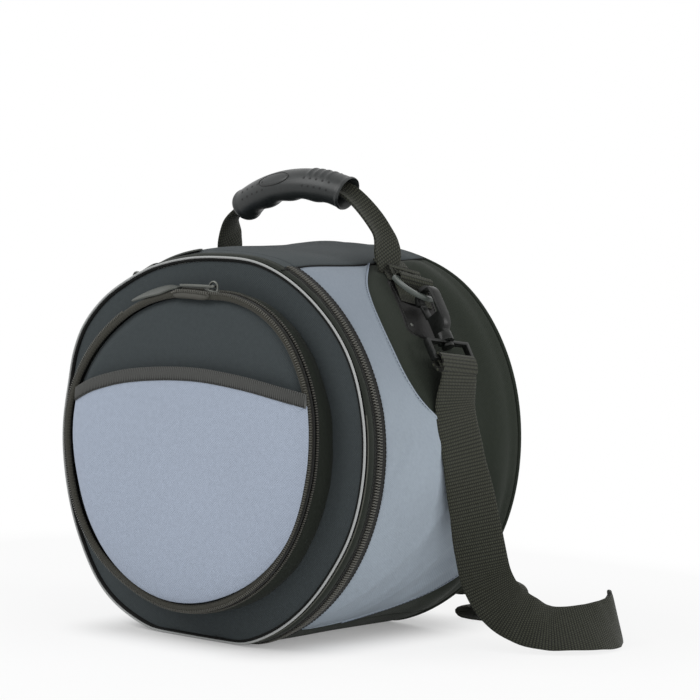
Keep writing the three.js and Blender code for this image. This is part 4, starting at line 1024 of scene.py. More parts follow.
class OBJECT_OT_bag_strap(bpy.types.Operator):
    """Lays the shoulder strap along its route, hook to hook"""

    bl_idname = "object.bag_strap"
    bl_label = "Shoulder strap"

    def execute(self, context):
        look = finishes()
        stops = [Vector(row[:3]) for row in STRAP_ROUTE]
        wides = [Vector(row[3:]) for row in STRAP_ROUTE]
        count = 420
        even = route_points(stops, count)
        spots = [spot for _, spot in even]
        frames = []
        for k, (where, spot) in enumerate(even):
            along = heading(spots, k)
            wide = interpolated(wides, where)
            wide = (wide - along * wide.dot(along)).normalized()
            frames.append((spot, wide, along.cross(wide)))

        def place(u, v):
            spot, wide, flat = frames[round(u * (count - 1))]
            turn = 2 * math.pi * v
            edge = squared_off(math.cos(turn), 0.35)
            face = squared_off(math.sin(turn), 0.8)
            return spot + wide * (edge * WEBBING_WIDTH / 2) + flat * (face * WEBBING_THICKNESS / 2)

        strap = closed_strip("shoulder_strap", count - 1, 16, place)
        finish(strap, look.webbing, "body",
               ("strap_hanging_right", "strap_floor_curl", "strap_behind", "strap_hanging_left"))
        return {"FINISHED"}


class OBJECT_OT_bag_drum(bpy.types.Operator):
    """Sews the drum's panels, its back, its foam and its liner"""

    bl_idname = "object.bag_drum"
    bl_label = "Drum"

    def execute(self, context):
        look = finishes()
        sides = (SEWN_TOP, BASE_ANGLE - BUTT_ANGLE)
        under = (BASE_ANGLE + BUTT_ANGLE, 360 - BASE_ANGLE - BUTT_ANGLE)
        over = SEWN_TOP + TOP_OVERLAP
        front, rear = level(PANEL_FRONT_Y), level(PANEL_REAR_Y)
        blue = drum_panel("side_cloth_right", sides, level(BLUE_FRONT_Y), lambda a: seam_y(a) + 0.001,
                          110, 34, 3.0, side_creases, hemmed=True)
        black = drum_panel("rear_cloth_right", sides, lambda a: seam_y(a) - 0.0006, rear,
                           110, 26, 8.0, rear_ridge)
        finish_pair(blue, look.blue, "side_panel_")
        finish_pair(black, look.side, "rear_side_panel_")
        crown = drum_panel("top_cloth", (-over, over), front, rear, 40, 40, 12.0, top_folds, rim=0.001)
        finish(crown, look.black, "body", ["top_panel"])
        base = drum_panel("base_cloth", under, front, rear, 40, 30, 15.0, puff=0.0, folds=0.0)
        finish(base, look.side, "body", ["base_panel"])
        self.back(look)
        self.inside(look)
        self.seams(look)
        return {"FINISHED"}

    def back(self, look):
        edge = PANEL_REAR_Y + 0.0003

        def place(u, v):
            angle = 360 * u
            y = edge + 0.0008 + 0.0055 * (1 - v**2.4) ** 0.8 + 0.0007 * ripple(u * 60, v * 0.2, 21.0)
            return on_round(angle, y, (drum_radius(edge) - 0.0037 + swell(angle, edge)) * v)

        sewn(polar_sheet("back_cloth", 24, 96, place), to_back, THIN_CLOTH, look.side, "body",
             ["back_panel"])
        spots = edge_spots(edge + BACK_PIPING_RADIUS, BACK_PIPING_DEPTH, BACK_PIPING_RADIUS)
        cord = tube("back_edge_piping", spots, BACK_PIPING_RADIUS, 12, closed=True)
        finish(cord, look.side, "body", ["back_piping"])

    def inside(self, look):
        def wall(u, v):
            return on_drum(360 * u, mix(PANEL_FRONT_Y, FOAM_REAR_Y, v), -FOAM_DEPTH)

        foam = sewn(sheet_mesh("wall_foam", 96, 4, wall, closed_u=True), from_axis, FOAM_THICKNESS,
                    look.foam, "body", ["foam_sleeve"])

        def disc(u, v):
            reach = drum_radius(BACK_FOAM_Y) + swell(360 * u, BACK_FOAM_Y) - FOAM_DEPTH
            return on_round(360 * u, BACK_FOAM_Y, reach * v, FOAM_DEPTH)

        back = sewn(polar_sheet("back_foam", 8, 96, disc), to_back, FOAM_THICKNESS,
                    look.foam, "body", ["back_foam_disc"])
        section = ((LINER_DEPTH, PANEL_FRONT_Y), (LINER_DEPTH, 0.078), (0.0094, 0.0815), (0.153, 0.0818))

        def tub(u, v):
            depth, y = mix_profile(section, v)
            depth = min(depth, drum_radius(y))
            share = 1 - depth / drum_radius(y)
            return on_round(360 * u, y, drum_radius(y) - depth + swell(360 * u, y) * share, LINER_DEPTH)

        liner = merge_points(sheet_mesh("liner_cloth", 96, 30, tub, closed_u=True))
        sewn(liner, from_axis, LINER_THICKNESS, look.liner, "body", ["liner_tub"])

    def seams(self, look):
        """The hem along the waist seam with its stitches and the painted highlight on its fold, and a
        near-black tube as painted shadow line beside the top panel.
        """
        angles = [mix(24, 147, k / 119) for k in range(120)]
        rear = PANEL_REAR_Y - 0.001
        stitches = [on_drum(a, seam_y(a) - 0.0013, 0.0019) for a in angles]
        # The hem's fold, in a lighter blue: painted highlight
        fold = [on_drum(a, seam_y(a) + 0.0009, 0.0015) for a in angles]
        # Painted shadow: a near-black tube along the raised edge of the top panel
        shadow = [on_drum(SEWN_TOP + 0.75, mix(BLUE_FRONT_Y, rear, k / 60), 0.0003) for k in range(61)]
        for piece, material in (
            (stitched("waist_stitches_right", stitches, from_axis, radius=0.00025), look.blue_thread),
            (tube("waist_fold_right", fold, 0.0004, 8, angle=40), look.blue_edge_highlight),
            (tube("top_seam_right", shadow, 0.0006, 8, angle=40), look.seam),
        ):
            finish_pair(piece, material)


def mix_profile(stations, share):
    """A place along a profile of straight runs, by its share of the profile's length."""
    runs = [math.dist(a, b) for a, b in zip(stations, stations[1:])]
    want = share * sum(runs)
    for (start, end), run in zip(zip(stations, stations[1:]), runs):
        if want <= run:
            return tuple(mix(a, b, want / run) for a, b in zip(start, end))
        want -= run
    return stations[-1]


def zip_half(name, place, angles, near_y, far_y, body_name, look, pitch, phase, tooth_width, lean=0.0):
    """One half of a zip: its woven tape, and its row of coils along the inner edge.

    lean turns the coils from facing outwards, 0, to facing the front, 1.
    """
    side = math.copysign(1, far_y - near_y)

    def tape(u, v):
        angle = mix(angles[0], angles[1], u)
        y = mix(near_y, far_y - side * 0.0007, v)
        return place(angle, y, 0.0001 + 0.0002 * math.sin(math.pi * v))

    sewn(sheet_mesh(name, 240, 6, tape), from_axis, TAPE_THICKNESS, look.tape, body_name,
         [name + "_tape"])
    template = tooth_template(pitch * 0.45, tooth_width, 0.0016)
    reach = (place(90, near_y, 0) - place(270, near_y, 0)).length / 2
    step = math.degrees(pitch / reach)
    row_y, row_lift = far_y - side * (tooth_width / 2 - 0.0004), 0.0009
    if lean:
        row_y, row_lift = near_y - side * 0.0025, -0.0006
    places = []
    for k in range(int((angles[1] - angles[0]) / step)):
        angle = angles[0] + (k + phase) * step
        spot = place(angle, row_y, row_lift)
        ahead = place(angle + 0.2, row_y, row_lift) - spot
        outward = from_axis(spot).normalized() * (1 - lean) + Vector((0, -lean, 0))
        places.append(seat(spot, ahead, outward))
    coil = smoothed(repeated(name + "_coil", template, places), 40)
    finish(coil, look.coil, body_name)


def tooth_template(length, width, height):
    """One coil of a zip: a small block with its edges bevelled."""
    tooth = basic_shape(bpy.ops.mesh.primitive_cube_add, (length, width, height), size=1)
    apply_modifier(tooth, "BEVEL", width=length * 0.3, segments=1)
    return template_of(tooth)


def zip_stitches(name, angles, y, look, body_name, lift):
    spots = [on_drum(mix(angles[0], angles[1], k / 200), y, lift) for k in range(201)]
    finish(stitched(name, spots, from_axis), look.thread, body_name)


class OBJECT_OT_bag_lid(bpy.types.Operator):
    """Sews the lid: its face, piping, gusset, padding and hinge"""

    bl_idname = "object.bag_lid"
    bl_label = "Lid"

    def execute(self, context):
        look = finishes()

        def gusset(u, v):
            angle = 360 * u
            y = mix(FRONT_Y + 0.0025, GUSSET_REAR_Y, v)
            rise = 0.0013 * math.sin(math.pi * v) + 0.0003 * ripple(angle, y, 31.0, 0.2)
            shelf = 0.001 * smooth_step(SEWN_TOP + 3, SEWN_TOP, abs(wrapped(angle)))
            return on_drum(angle, y, max(rise * off_foot(angle), shelf * smooth_step(0.15, 0.4, v)))

        wall = sheet_mesh("lid_gusset_cloth", 220, 8, gusset, closed_u=True)
        sewn(wall, from_axis, CLOTH_THICKNESS, look.gusset, "lid", ["lid_gusset"])
        whole = (0, 360)
        for name, y, depth, radius, material, nodes, angles in (
            ("lid_edge_piping", -0.0004, PIPING_DEPTH, PIPING_RADIUS, look.piping, ["lid_piping"], whole),
            # A near-black tube in the gap behind the piping: painted shade
            ("lid_piping_shadow_line", 0.0009, 0.0022, 0.0016, look.seam, (), whole),
            ("lid_hem_cord", HEM_CORD_SETBACK, 0, 0.0006, look.hem, (), (75, 285)),
        ):
            spots = edge_spots(FRONT_Y + y, depth, radius, angles)
            cord = tube(name, spots, radius, 10, closed=angles == whole)
            finish(cord, material, "lid", nodes)
        # A near-black tube down each join of gusset and top panel: painted seam shade
        for side, angle in (("right", SEWN_TOP + 1.6), ("left", -SEWN_TOP - 1.6)):
            run = [mix(FRONT_Y + HEM_CORD_SETBACK, GUSSET_REAR_Y, k / 8) for k in range(9)]
            seam = tube("lid_gusset_join_" + side, [on_drum(angle, y, 0.0011) for y in run], 0.0005, 8)
            finish(seam, look.seam, "lid")

        def face(u, v):
            angle = 360 * u
            radius = (LID_PANEL_RADIUS + swell(angle, FRONT_Y)) * v
            near = smooth_step(0.9, 1.0, v)
            hollow = 0.0006 * (1 - near) * (1 + ripple(angle, radius, 41.0, 0.04, 30))
            return on_lid(angle, FRONT_Y - 0.0002 + 0.0012 * near - hollow, radius, 0.0037)

        sewn(polar_sheet("lid_face_cloth", 30, 180, face), to_front, CLOTH_THICKNESS,
             look.black, "lid", ["lid_front_panel"])
        for name, node, material, slot, near, far in (
            ("lid_foam", "lid_foam_disc", look.foam, "foam", -0.0902, -0.0852),
            ("lid_liner", "lid_liner_disc", look.liner, "liner", -0.0848, -0.0838),
        ):
            def disc(u, v, y=near):
                return on_lid(360 * u, y, LID_PADDING_RADIUS * v, 0.004)

            layer = sewn(polar_sheet(name, 6, 96, disc), to_front, far - near, material, "lid", [node])

        def hinge(u, v):
            angle = mix(BUTT_ANGLE - SEWN_TOP, SEWN_TOP - BUTT_ANGLE, u)
            y = mix(GUSSET_REAR_Y + 0.0002, PANEL_FRONT_Y - 0.0002, v)
            return on_drum(angle, y, 0.001)

        bends = ("body", "lid", (0, -0.0713, 0.29), (0, -0.0805, 0.29))
        sewn(sheet_mesh("lid_hinge_cloth", 40, 10, hinge), from_axis, CLOTH_THICKNESS,
             look.black, bends, ["lid_hinge_strip"])

        angles = (SEWN_TOP + BUTT_ANGLE, 360 - SEWN_TOP - BUTT_ANGLE)
        zip_half("main_zip_lid", on_drum, angles, *LID_TAPE_Y, "lid", look,
                 ZIP_PITCH, 0.25, ZIP_TOOTH_WIDTH)
        zip_half("main_zip_body", on_drum, angles, *BODY_TAPE_Y[::-1], "body", look,
                 ZIP_PITCH, 0.75, ZIP_TOOTH_WIDTH)
        zip_stitches("main_zip_lid_stitches", angles, GUSSET_REAR_Y - 0.0008, look, "lid", 0.0009)
        zip_stitches("main_zip_body_stitches", angles, BODY_TAPE_Y[1] - 0.0006, look, "body", 0.0004)
        return {"FINISHED"}


def off_foot(angle):
    """1 round the drum, 0 where it stands."""
    return smooth_step(16, 26, abs(angle % 360 - 180))


class OBJECT_OT_bag_pocket(bpy.types.Operator):
    """Sews the round pocket on the lid, its zip, its flap and the slip pocket"""

    bl_idname = "object.bag_pocket"
    bl_label = "Front pocket"

    def execute(self, context):
        look = finishes()

        def wall(u, v):
            angle = 360 * u
            y = mix(POCKET_BASE_Y, POCKET_WALL_Y, v)
            lift = 0.0014 * math.sin(math.pi * v) + 0.0007 * ripple(angle, y, 51.0, 0.12, 60)
            return on_pocket(angle, y, lift)

        gusset = sheet_mesh("pocket_wall_cloth", 220, 12, wall, closed_u=True)
        sewn(gusset, from_axis, CLOTH_THICKNESS, look.gusset, "lid", ["pocket_gusset"])
        zip_half("pocket_zip_lid", on_pocket, POCKET_ZIP, *POCKET_TAPE_Y, "lid", look,
                 POCKET_ZIP_PITCH, 0.25, 0.002)
        zip_half("pocket_zip_flap", on_pocket, POCKET_ZIP, *FLAP_TAPE_Y, "flap", look,
                 POCKET_ZIP_PITCH, 0.75, 0.0022, lean=0.7)

        def hinge(u, v):
            angle = mix(POCKET_ZIP[1] - 360 + 0.1, POCKET_ZIP[0] - 0.1, u)
            lift = 0.0001 + 0.0004 * math.sin(math.pi * v)
            return on_pocket(angle, mix(POCKET_TAPE_Y[0], FLAP_TAPE_Y[0], v), lift)

        ends = [on_pocket(-19, y, 0) for y in (POCKET_TAPE_Y[0] - 0.0002, FLAP_TAPE_Y[0] + 0.0002)]
        sewn(sheet_mesh("pocket_hinge_cloth", 30, 10, hinge), from_axis, CLOTH_THICKNESS,
             look.black, ("lid", "flap", *ends), ["pocket_hinge_strip"])

        def welt(u, v):
            depth, y = mix_profile(WELT_SECTION, v)
            return on_pocket(360 * u, y, -depth * welt_share(360 * u))

        rim = recalculated(sheet_mesh("flap_welt_cloth", 220, 20, welt, closed_u=True, closed_v=True))
        smoothed(rim, 60)
        finish(rim, look.band, "flap", ["flap_welt"])

        def face(u, v):
            radius = (POCKET_RADIUS - WELT_WIDTH * welt_share(360 * u) - 0.0002 + pocket_swell(360 * u)) * v
            turn = 2 * math.pi * u
            x = radius * math.sin(turn)
            z = radius * math.cos(turn)
            open_share = smooth_step(0.03, 0.06, z)
            soft = 0.0014 * open_share * (1 - smooth_step(0.85, 1, v)) * ripple(x * 900, z, 61.0, 0.02, 25)
            sunk = 0.0034 * smooth_step(0.94, 1, v)
            crown = 0.0014 + 0.003 * (1 - v * v) + abs(soft) * 0.5
            return Vector((x, FLAP_FACE_Y - crown + sunk, LID_CENTRE_Z + z))

        sewn(polar_sheet("flap_face_cloth", 40, 180, face), to_front, CLOTH_THICKNESS,
             look.black, "flap", ["flap_panel"])
        self.slip(look)
        self.zip_end(look)
        return {"FINISHED"}

    def zip_end(self, look):
        """The zip's loose end, folded over beside its slider."""
        first, last, height = -6.4, 10.5, 0.0026

        def pad(u, v):
            angle = mix(first, last, u)
            round_off = math.sqrt(max(1 - (2 * u - 1) ** 6, 0))
            depth = 0.0032 + 0.0032 * (1 - 2 * v) * round_off
            dome = math.sin(math.pi * v) ** 0.6 * round_off
            return on_pocket(angle, SLIP_RIM_Y - height * dome, -depth)

        sewn(sheet_mesh("pocket_zip_end", 40, 14, pad), to_front, 0.0008, look.end, "flap")
        places = []
        for k in range(19):
            angle = mix(first + 0.6, last - 0.6, k / 18)
            spot = on_pocket(angle, SLIP_RIM_Y - height, -0.0006 - 0.0012 * hump(k, 0, 1.2))
            ahead = on_pocket(angle + 0.2, SLIP_RIM_Y - height, -0.0006) - spot
            places.append(seat(spot, ahead, Vector((0, -1, 0.35))))
        coil = repeated("pocket_zip_end_coil", tooth_template(0.001, 0.0024, 0.0016), places)
        finish(smoothed(coil, 40), look.coil, "flap")

    def slip(self, look):
        """The open pocket: a crowned face with a wall round its edge, and the binding on its arched top."""
        rows, wall_rows, drawn = 44, 4, 0.006
        wall_share = wall_rows / (rows + wall_rows)

        def spot(u, v):
            angle = mix(SLIP_EDGE[-1][0], SLIP_EDGE[0][0], u)
            reach = smooth_through(SLIP_EDGE, angle)
            bx, bz = reach * math.sin(math.radians(angle)), reach * math.cos(math.radians(angle))
            if v < wall_share:
                turn = v / wall_share * math.pi / 2
                pull = 1 - drawn * (1 - math.cos(turn))
                return Vector((bx * pull, SLIP_RIM_Y - SLIP_WALL * math.sin(turn), LID_CENTRE_Z + bz * pull))
            share = (v - wall_share) / (1 - wall_share)
            tx = mix(SLIP_LEFT_X, SLIP_RIGHT_X, u)
            x = mix(bx * (1 - drawn), tx, share)
            z = mix(bz * (1 - drawn), smooth_through(SLIP_ARCH, tx), share)
            crown = math.sin(math.pi * min(share * 0.85, 1)) ** 0.7 * (1 - abs(2 * u - 1) ** 4)
            puff = 0.0016 * crown + 0.0004 * ripple(x * 800, z, 71.0, 0.02, 20) * crown
            return Vector((x, slip_front(x, z) - puff, LID_CENTRE_Z + z))

        face = sheet_mesh("slip_pocket_cloth", 140, rows + wall_rows, spot, uv=lambda p: (p.x, p.z))
        sewn(face, to_front, THIN_CLOTH, look.pocket, "flap", ["slip_pocket"])

        def bound(u, v):
            x = mix(SLIP_LEFT_X + 0.001, SLIP_RIGHT_X - 0.001, u)
            turn = 2 * math.pi * v
            up = BINDING_HEIGHT / 2 * (1 + squared_off(math.cos(turn), 0.6))
            z = smooth_through(SLIP_ARCH, x)
            y = slip_front(x, z) - 0.0005 - 0.0013 * math.sin(turn)
            return Vector((x, y, LID_CENTRE_Z + z - 0.0008 + up))

        tape = closed_strip("slip_binding_tape", 140, 20, bound)
        finish(tape, look.binding, "flap", ["slip_pocket_binding"])
        spots = [bound(k / 160, 0.25) + Vector((0, -0.0001, 0.0012 - BINDING_HEIGHT / 2)) for k in range(161)]
        row = stitched("slip_binding_stitches", spots, to_front, 0.003)
        finish(row, look.thread, "flap")


class OBJECT_OT_bag_handle(bpy.types.Operator):
    """Moulds the grip and threads the carrying handle's webbing"""

    bl_idname = "object.bag_handle"
    bl_label = "Carrying handle"

    def execute(self, context):
        look = finishes()
        self.grip(look)
        self.webbing(look)
        self.roots(look)
        return {"FINISHED"}

    def surface(self, x, angle, extra=0.0):
        """A point on the grip's skin: its place along the grip and its turn from the top, in degrees."""
        share = abs(x) / GRIP_HALF_LENGTH
        turn = math.radians(angle)
        under = max(-math.cos(turn), 0) ** 2
        over = max(math.cos(turn - 0.2), 0)
        groove = 0.5 - 0.5 * math.cos(x / GRIP_HALF_LENGTH * math.pi * 4)
        reach = GRIP_RADIUS - 0.0006 * share**4 + 0.0008 * hump(share, 0.97, 0.03)
        reach -= under * groove * max(1 - share**6, 0) * 0.0026 + 0.0015 * (1 - share) * under
        reach += 0.0011 * sum(hump(x, spot, 0.0014) for spot in GRIP_RIBS) * over**6
        from_pad = ((x - PAD_X) / PAD_HALF_LENGTH) ** 2 + ((angle - PAD_TURN) / PAD_HALF_TURN) ** 2
        reach += 0.0005 * (1 - smooth_step(0.75, 1.0, from_pad)) + extra
        slope = -2 * GRIP_RISE * x / GRIP_HALF_LENGTH**2 + GRIP_SKEW / GRIP_HALF_LENGTH
        tilt = math.atan(slope)
        up = reach * math.cos(turn) * 0.88
        along = x - GRIP_SHIFT - up * math.sin(tilt)
        return on_handle(along, reach * math.sin(turn), grip_centre(x) + up * math.cos(tilt))

    def grip(self, look):
        half_bore = GRIP_HALF_LENGTH - 0.0008
        loop = [(False, mix(-GRIP_HALF_LENGTH, GRIP_HALF_LENGTH, k / 150)) for k in range(151)]
        loop += [(True, mix(half_bore, -half_bore, k / 12)) for k in range(13)]

        def place(u, v):
            inner, x = loop[round(v * len(loop)) % len(loop)]
            flare = 0.0033 * smooth_step(0.85, 1, abs(x) / GRIP_HALF_LENGTH)
            return self.surface(x, wrapped(360 * u), GRIP_BORE - GRIP_RADIUS + flare if inner else 0.0)

        body = recalculated(sheet_mesh("grip_rubber", 72, len(loop), place, closed_u=True, closed_v=True))
        finish(smoothed(body, 60), look.grip, "handle", ["handle_grip"])
        # The small holes are near-black flattened dots on the skin: painted shade
        dot = basic_shape(bpy.ops.mesh.primitive_uv_sphere_add, (1, 1, 0.25),
                          segments=10, ring_count=6, radius=0.0011)
        template = template_of(dot)
        places = []
        for angle, k, end in itertools.product((-37, -64, 37, 64), range(5), (1, -1)):
            x = end * 0.031 + 0.0055 * (k - 2)
            spot = self.surface(x, angle)
            out = self.surface(x, angle, 0.001) - spot
            ahead = self.surface(x + 0.001, angle) - spot
            places.append(seat(spot, ahead, out))
        dots = smoothed(repeated("grip_dimples", template, places), 60)
        finish(dots, look.hollow_shade, "handle")
        # The pad's outline is a near-black line: painted shade at its step
        border = []
        for k in range(48):
            turn = 2 * math.pi * k / 48
            x = PAD_X + PAD_HALF_LENGTH * math.cos(turn)
            border.append(self.surface(x, PAD_TURN + PAD_HALF_TURN * math.sin(turn), 0.0002))
        line = tube("grip_pad_line", border, 0.0004, 8, closed=True)
        finish(line, look.hollow_shade, "handle")

    def webbing(self, look):
        """One piece of webbing, folded to pass through the grip and opening flat at its feet."""
        stops = [Vector((0.0745, 0, 0.002)), Vector((0.0735, 0, 0.02)), Vector((0.0705, 0, 0.038))]
        for k in range(7):
            x = mix(GRIP_HALF_LENGTH, -GRIP_HALF_LENGTH, k / 6)
            stops.append(Vector((x - GRIP_SHIFT, 0, grip_centre(x))))
        stops += [Vector((-0.0755, 0, 0.037)), Vector((-0.084, 0, 0.018)), Vector((-0.0855, 0, -0.006))]
        shares = [1, 0.85, 0.55] + [FOLDED_SHARE] * 7 + [0.55, 0.85, 1]
        count = 240
        even = route_points(stops, count)
        spots = [spot for _, spot in even]
        full = WEBBING_WIDTH - 0.003

        def place(u, v):
            k = round(u * (count - 1))
            where, spot = even[k]
            along = heading(spots, k)
            i = min(int(where), len(shares) - 2)
            share = mix(shares[i], shares[i + 1], smooth_step(0, 1, where - i))
            side = Vector((0, 1, 0))
            flat = along.cross(side)
            turn = 2 * math.pi * v
            edge = squared_off(math.cos(turn), 0.4)
            face = squared_off(math.sin(turn), 0.7)
            folded = clamp((1 - share) / (1 - FOLDED_SHARE))
            across = edge * full / 2 * share
            cup = folded * 0.0045 * (edge * edge - 0.4)
            lift = face * (WEBBING_THICKNESS * 0.55 + 0.001 * folded) - cup
            point = spot + side * across + flat * lift
            low = max(0.02 - point.z, 0) / 0.016
            point.y *= math.sqrt(max(1 - low * low * 0.55, 0.2))
            return on_handle(*point)

        strip = closed_strip("handle_webbing_strip", count - 1, 24, place)
        finish(strip, look.webbing, "handle", ["handle_webbing"])

    def roots(self, look):
        """The webbing's sewn ends, flat on the drum, with their stitching."""
        near, far, top, bottom, lift = -0.0175, 0.0095, -0.036, -0.003, 0.0029

        def place(u, v):
            return on_side(mix(near, far, v), mix(top, bottom, u), lift)

        root = facing(sheet_mesh("handle_foot_right", 40, 24, place), from_axis)
        thickened(root, WEBBING_THICKNESS, 1)
        spots = [on_side(mix(near, far, 0.05 + 0.9 * k / 39), -0.024, lift) for k in range(40)]
        line = stitched("handle_foot_stitches_right", spots, from_axis)
        finish_pair(root, look.webbing, "handle_root_")
        finish_pair(line, look.thread)


class OBJECT_OT_bag_anchors(bpy.types.Operator):
    """Sews the strap anchors: patches, rivets, loops, rings and hooks"""

    bl_idname = "object.bag_anchors"
    bl_label = "Strap anchors"

    def execute(self, context):
        look = finishes()
        half_width, corner, top, bottom = 0.02, 0.007, -0.007, 0.053

        def outline_half(down):
            from_end = min(down - top, bottom - down)
            short = corner - min(from_end, corner)
            return half_width - corner + math.sqrt(max(corner**2 - short**2, 0))

        def patch(u, v):
            down = mix(top, bottom, v)
            half = outline_half(down)
            across = mix(-half, half, u)
            edge = min(half - abs(across), down - top, bottom - down)
            return on_side(across, down, 0.0013 + 0.0006 * smooth_step(0, 0.003, edge))

        leather = facing(sheet_mesh("anchor_leather_right", 24, 48, patch), from_axis)
        thickened(leather, 0.0014, 1)
        inset = 0.0026
        border = []
        for k in range(60):
            down = mix(top + inset, bottom - inset, k / 59)
            border.append((outline_half(down) - inset, down))
        border += [(-across, down) for across, down in reversed(border)]
        spots = [on_side(across, down, 0.002) for across, down in border + border[:1]]
        thread = stitched("anchor_stitches_right", spots, from_axis, 0.0028, 0.002)
        corners = ((0.012, 0.011), (-0.012, 0.011), (0.012, 0.043), (-0.012, 0.043))
        rivets = [self.rivet(on_side(across, down, 0.0017)) for across, down in corners]
        studs = joined("anchor_rivets_right", rivets)
        for piece, material, slot, node in (
            (leather, look.leather, "leatherette", "anchor_patch_"),
            (thread, look.thread, "leatherette", None),
            (studs, look.metal, "zip_metal", None),
            (self.sleeve(), look.webbing, "webbing", "anchor_loop_"),
        ):
            finish_pair(piece, material, node)
        for side in ("right", "left"):
            refined("d_ring_" + side, look.grey, "ring_" + side, 0.0007)
            for node, body_name, width in (("hook_", "hook_", 0.0005), ("hook_gate_", "gate_", 0.0004),
                                           ("hook_base_", "base_", 0.0005)):
                refined(node + side, look.plastic, body_name + side, width)
            self.strap_fold(side, look)
        return {"FINISHED"}

    def strap_fold(self, side, look):
        """The strap's end, folded round the bar of the hook's base."""
        row = STRAP_ROUTE[0] if side == "right" else STRAP_ROUTE[-1]
        centre, across = Vector(row[:3]), Vector(row[3:]).normalized()
        down = Vector((math.copysign(0.62, centre.x), 0, -0.78))
        down = (down - across * down.dot(across)).normalized()
        outward = across.cross(down)

        def place(u, v):
            turn = 2 * math.pi * u
            long = 0.0046 + 0.004 * max(math.cos(turn), 0)
            bulge = down * (long * math.cos(turn)) + outward * (0.0042 * math.sin(turn))
            return centre + bulge + across * mix(-0.5, 0.5, v) * (WEBBING_WIDTH - 0.0006)

        fold = recalculated(sheet_mesh("strap_fold_" + side, 32, 12, place, closed_u=True))
        apply_modifier(fold, "SOLIDIFY", thickness=WEBBING_THICKNESS, offset=1, use_even_offset=True)
        finish(smoothed(recalculated(fold), 60), look.webbing, "base_" + side)

    def rivet(self, spot):
        """A domed stud, cut flat under its dome."""
        stud = basic_shape(bpy.ops.mesh.primitive_uv_sphere_add, segments=16, ring_count=10, radius=0.0017)
        edit_all(bpy.ops.mesh.bisect, plane_co=(0, 0, 0.0002), plane_no=(0, 0, 1), clear_inner=True,
                 use_fill=True)
        stud.data.transform(Matrix.Diagonal((1, 1, 0.5, 1)))
        stud.data.transform(seat(spot, Vector((0, 1, 0)), from_axis(spot)))
        return smoothed(stud, 50)

    def sleeve(self):
        """The folded loop round the ring's bar, and its sewn tail."""
        origin = on_side(0, 0, BAR_LIFT)
        down = (on_side(0, 0.001, BAR_LIFT) - on_side(0, -0.001, BAR_LIFT)).normalized()
        outward = from_axis(origin).normalized()
        outward = (outward - down * outward.dot(down)).normalized()
        across = down.cross(outward)
        reach, wall, half = 0.0044, 0.0014, 0.015
        rings = [(-0.016, 0.0008 - reach), (-0.008, 0.0004 - reach)]
        for k in range(25):
            turn = math.radians(mix(270, -60, k / 24))
            rings.append((math.cos(turn) * reach, math.sin(turn) * reach))

        def along_loop(u, v):
            y, z = rings[round(u * (len(rings) - 1))]
            return origin + across * mix(-half, half, v) + down * y + outward * z

        made = sheet_mesh("anchor_webbing_right", len(rings) - 1, 16, along_loop)
        apply_modifier(made, "SOLIDIFY", thickness=wall, offset=0, use_even_offset=True)
        return smoothed(recalculated(made), 50)


def refined(node, material, body_name, width):
    """A finer copy of a rigid node: its facets merged and its edges rounded."""
    copy = add_object(node + "_moulded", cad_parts[node].data.copy())
    merge_points(copy, 1e-5)
    apply_modifier(copy, "DECIMATE", decimate_type="DISSOLVE", angle_limit=math.radians(1.5))
    apply_modifier(copy, "BEVEL", width=width, segments=2, limit_method="ANGLE",
                   angle_limit=math.radians(40), harden_normals=False)
    smoothed(copy, 50)
    return finish(copy, material, body_name, [node])


class OBJECT_OT_bag_sliders(bpy.types.Operator):
    """Finishes the zip sliders, their rods and their leaf tabs"""

    bl_idname = "object.bag_sliders"
    bl_label = "Zip sliders"

    def execute(self, context):
        look = finishes()
        for which, (turn, bend) in TAB_HANG.items():
            for node, body_name in (("_slider", "_slider"), ("_pull_rod", "_pull")):
                refined(which + node, look.metal, which + body_name, 0.0003)
            tab = refined(which + "_pull_tab", look.tab, which + "_pull", 0.0004)
            apply_modifier(tab, "SUBSURF", levels=1, render_levels=1)
            self.supple(tab, which, math.radians(turn), bend)
        return {"FINISHED"}

    def supple(self, tab, which, turn, bend):
        """Lets a leather tab turn and bend along its length, as it hangs."""
        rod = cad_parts[which + "_pull_rod"].data.vertices
        start = sum((v.co for v in rod), Vector()) / len(rod)
        middle = sum((v.co for v in tab.data.vertices), Vector()) / len(tab.data.vertices)
        along = (middle - start).normalized()
        away = from_axis(middle)
        away = (away - along * away.dot(along)).normalized()
        reaches = [(v.co - start).dot(along) for v in tab.data.vertices]
        low, high = min(reaches), max(reaches)
        for v, reach in zip(tab.data.vertices, reaches):
            share = (reach - low) / (high - low)
            spot = start + along * reach
            swung = Matrix.Rotation(turn * smooth_step(0, 0.35, share), 3, along) @ (v.co - spot)
            v.co = spot + swung + away * bend * share * share


